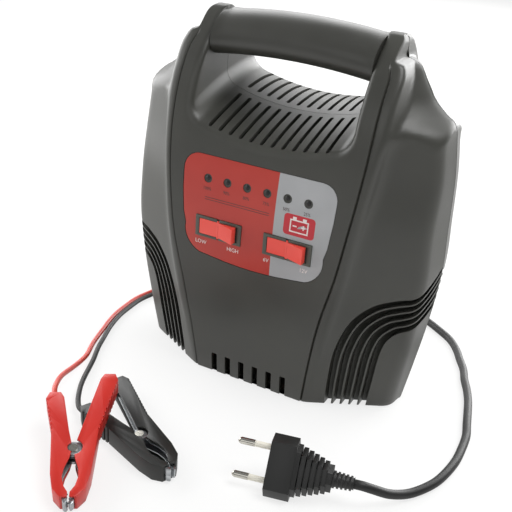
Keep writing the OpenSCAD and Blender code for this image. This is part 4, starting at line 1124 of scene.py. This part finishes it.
def label():
    """The printed film, with its holes."""
    film = combined(label_prism(0, FAR, 30), panel_slab(-0.08, -0.45), "INTERSECT")
    holes = [bar_back(x, LED_Z, LED_R + 0.3, -FAR, -40) for x in led_x]
    return cut(film, *holes, *switch_windows(-40))


def battery_sign(x, z):
    """A small battery: an outline, two posts and the signs of its poles."""
    bars = [patch(x, z + 3.3, 12, 0.8), patch(x, z - 3.9, 12, 0.8),
            patch(x + 2.8, z + 0.6, 0.8, 1.0), patch(x + 2.8, z - 1.2, 0.8, 1.0)]
    for side in (-1, 1):
        bars += [patch(x + 5.6 * side, z - 0.3, 0.8, 7.4), patch(x + 3.2 * side, z + 4.5, 2.4, 1.6),
                 patch(x + 2.8 * side, z - 0.3, 2.6, 0.8)]
    return joined(*bars)


finished("label_film", label(), label_film, stands_for=["control_label"])
charge_marks = [lettering(text, x, LED_Z - 6.3, 2.0)
                for text, x in zip(("100%", "90%", "80%", "75%", "50%", "25%"), led_x)]
rules = [patch(-12.5, 128.3, 44, 0.35), patch(-12.5, 126.9, 44, 0.35)]
finished("dark_marks", over_panel(joined(*charge_marks, *rules), -0.06), dark_ink)
range_marks = [lettering("LOW", -35.5, 98.3, 2.6), lettering("HIGH", -12.8, 98.3, 2.6),
               lettering("6V", 10.2, 98.3, 2.6), lettering("12V", 35.2, 98.3, 2.6)]
finished("badge_field", over_panel(patch(29.5, 125.3, 20, 13, 2.2), -0.06), badge_ink)
finished("pale_marks", over_panel(joined(*range_marks, battery_sign(29.5, 125.2)), -0.02), pale_ink)

# ======== CAD parts with their edges softened ========


def softened(node, width, segments):
    """A copy of a CAD part, merged, with its sharp edges rounded, in millimetres."""
    sharp = math.radians(28)
    bm = bmesh.new()
    bm.from_mesh(frame["nodes"][node].data)
    bmesh.ops.scale(bm, vec=(1 / MM, 1 / MM, 1 / MM), verts=bm.verts)
    bmesh.ops.remove_doubles(bm, verts=bm.verts, dist=0.002)
    bmesh.ops.dissolve_limit(bm, angle_limit=math.radians(2), verts=bm.verts, edges=bm.edges)
    edges = [e for e in bm.edges if len(e.link_faces) == 2 and e.calc_face_angle(0) > sharp]
    bmesh.ops.bevel(bm, geom=edges, offset=width, segments=segments, profile=0.5, affect="EDGES", material=-1,
                    clamp_overlap=True)
    return bm


def soft_copy(node, width, material, segments=2):
    """The CAD part's softened copy as a piece that stands for it."""
    return finished(node + "_look", softened(node, width, segments), material,
                    body=frame["nodes"][node]["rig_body"], stands_for=[node])


for side in ("current", "voltage"):
    soft_copy(side + "_switch_housing", 0.3, bezel_nylon)
    soft_copy(side + "_switch_rocker", 0.45, rocker_abs, segments=3)

plug_look = soft_copy("plug_body", 0.45, plug_pvc)
gland_look = soft_copy("mains_gland", 0.25, plug_pvc)
soft_copy("lead_grommet", 0.25, plug_pvc)

for colour, cover in (("red", clamp_red_pvc), ("black", clamp_black_pvc)):
    looks = [soft_copy(f"{colour}_{arm}_cover", 0.5, cover) for arm in ("fixed", "moving")]
    looks += [soft_copy(f"{colour}_{arm}_jaw", 0.15, zinc_plate) for arm in ("fixed", "moving")]

# ======== Screws, pins and the inside, as the CAD has them ========


def dress(material, *nodes):
    """Puts the material on CAD parts that are shown as they are."""
    for node in nodes:
        for place in frame["nodes"][node].material_slots:
            place.material = material


dress(nickel_plate, "plug_pins", "red_clamp_rivet", "black_clamp_rivet")
dress(spring_steel, "red_clamp_spring", "black_clamp_spring")
dress(natural_nylon, "pin_sleeves", "mains_gland_nut", "transformer_bobbin")
dress(lens_epoxy, "indicator_leds")
dress(circuit_board(), "display_board")
dress(black_epoxy, "board_components", "bridge_rectifier")
dress(zinc_plate, "board_screws", "bracket_screws", "sink_screws", "case_screws")
dress(brass, "switch_terminals")
dress(laminated(), "transformer_core")
# The windings' darker colour is painted shade between the wires; the lighter one is a painted highlight on their
# crowns
dress(wound("primary_wire", "#7c3a1c", "#c07a48", 0.6), "primary_winding")
dress(wound("secondary_wire", "#7c3a1c", "#c8824e", 1.8), "secondary_winding")
dress(zinc_sheet, "transformer_bracket")
dress(aluminium, "heat_sink")
dress(phenolic, "thermal_breaker")
dress(wire_red, "supply_wires")
dress(wire_black, "output_wires")
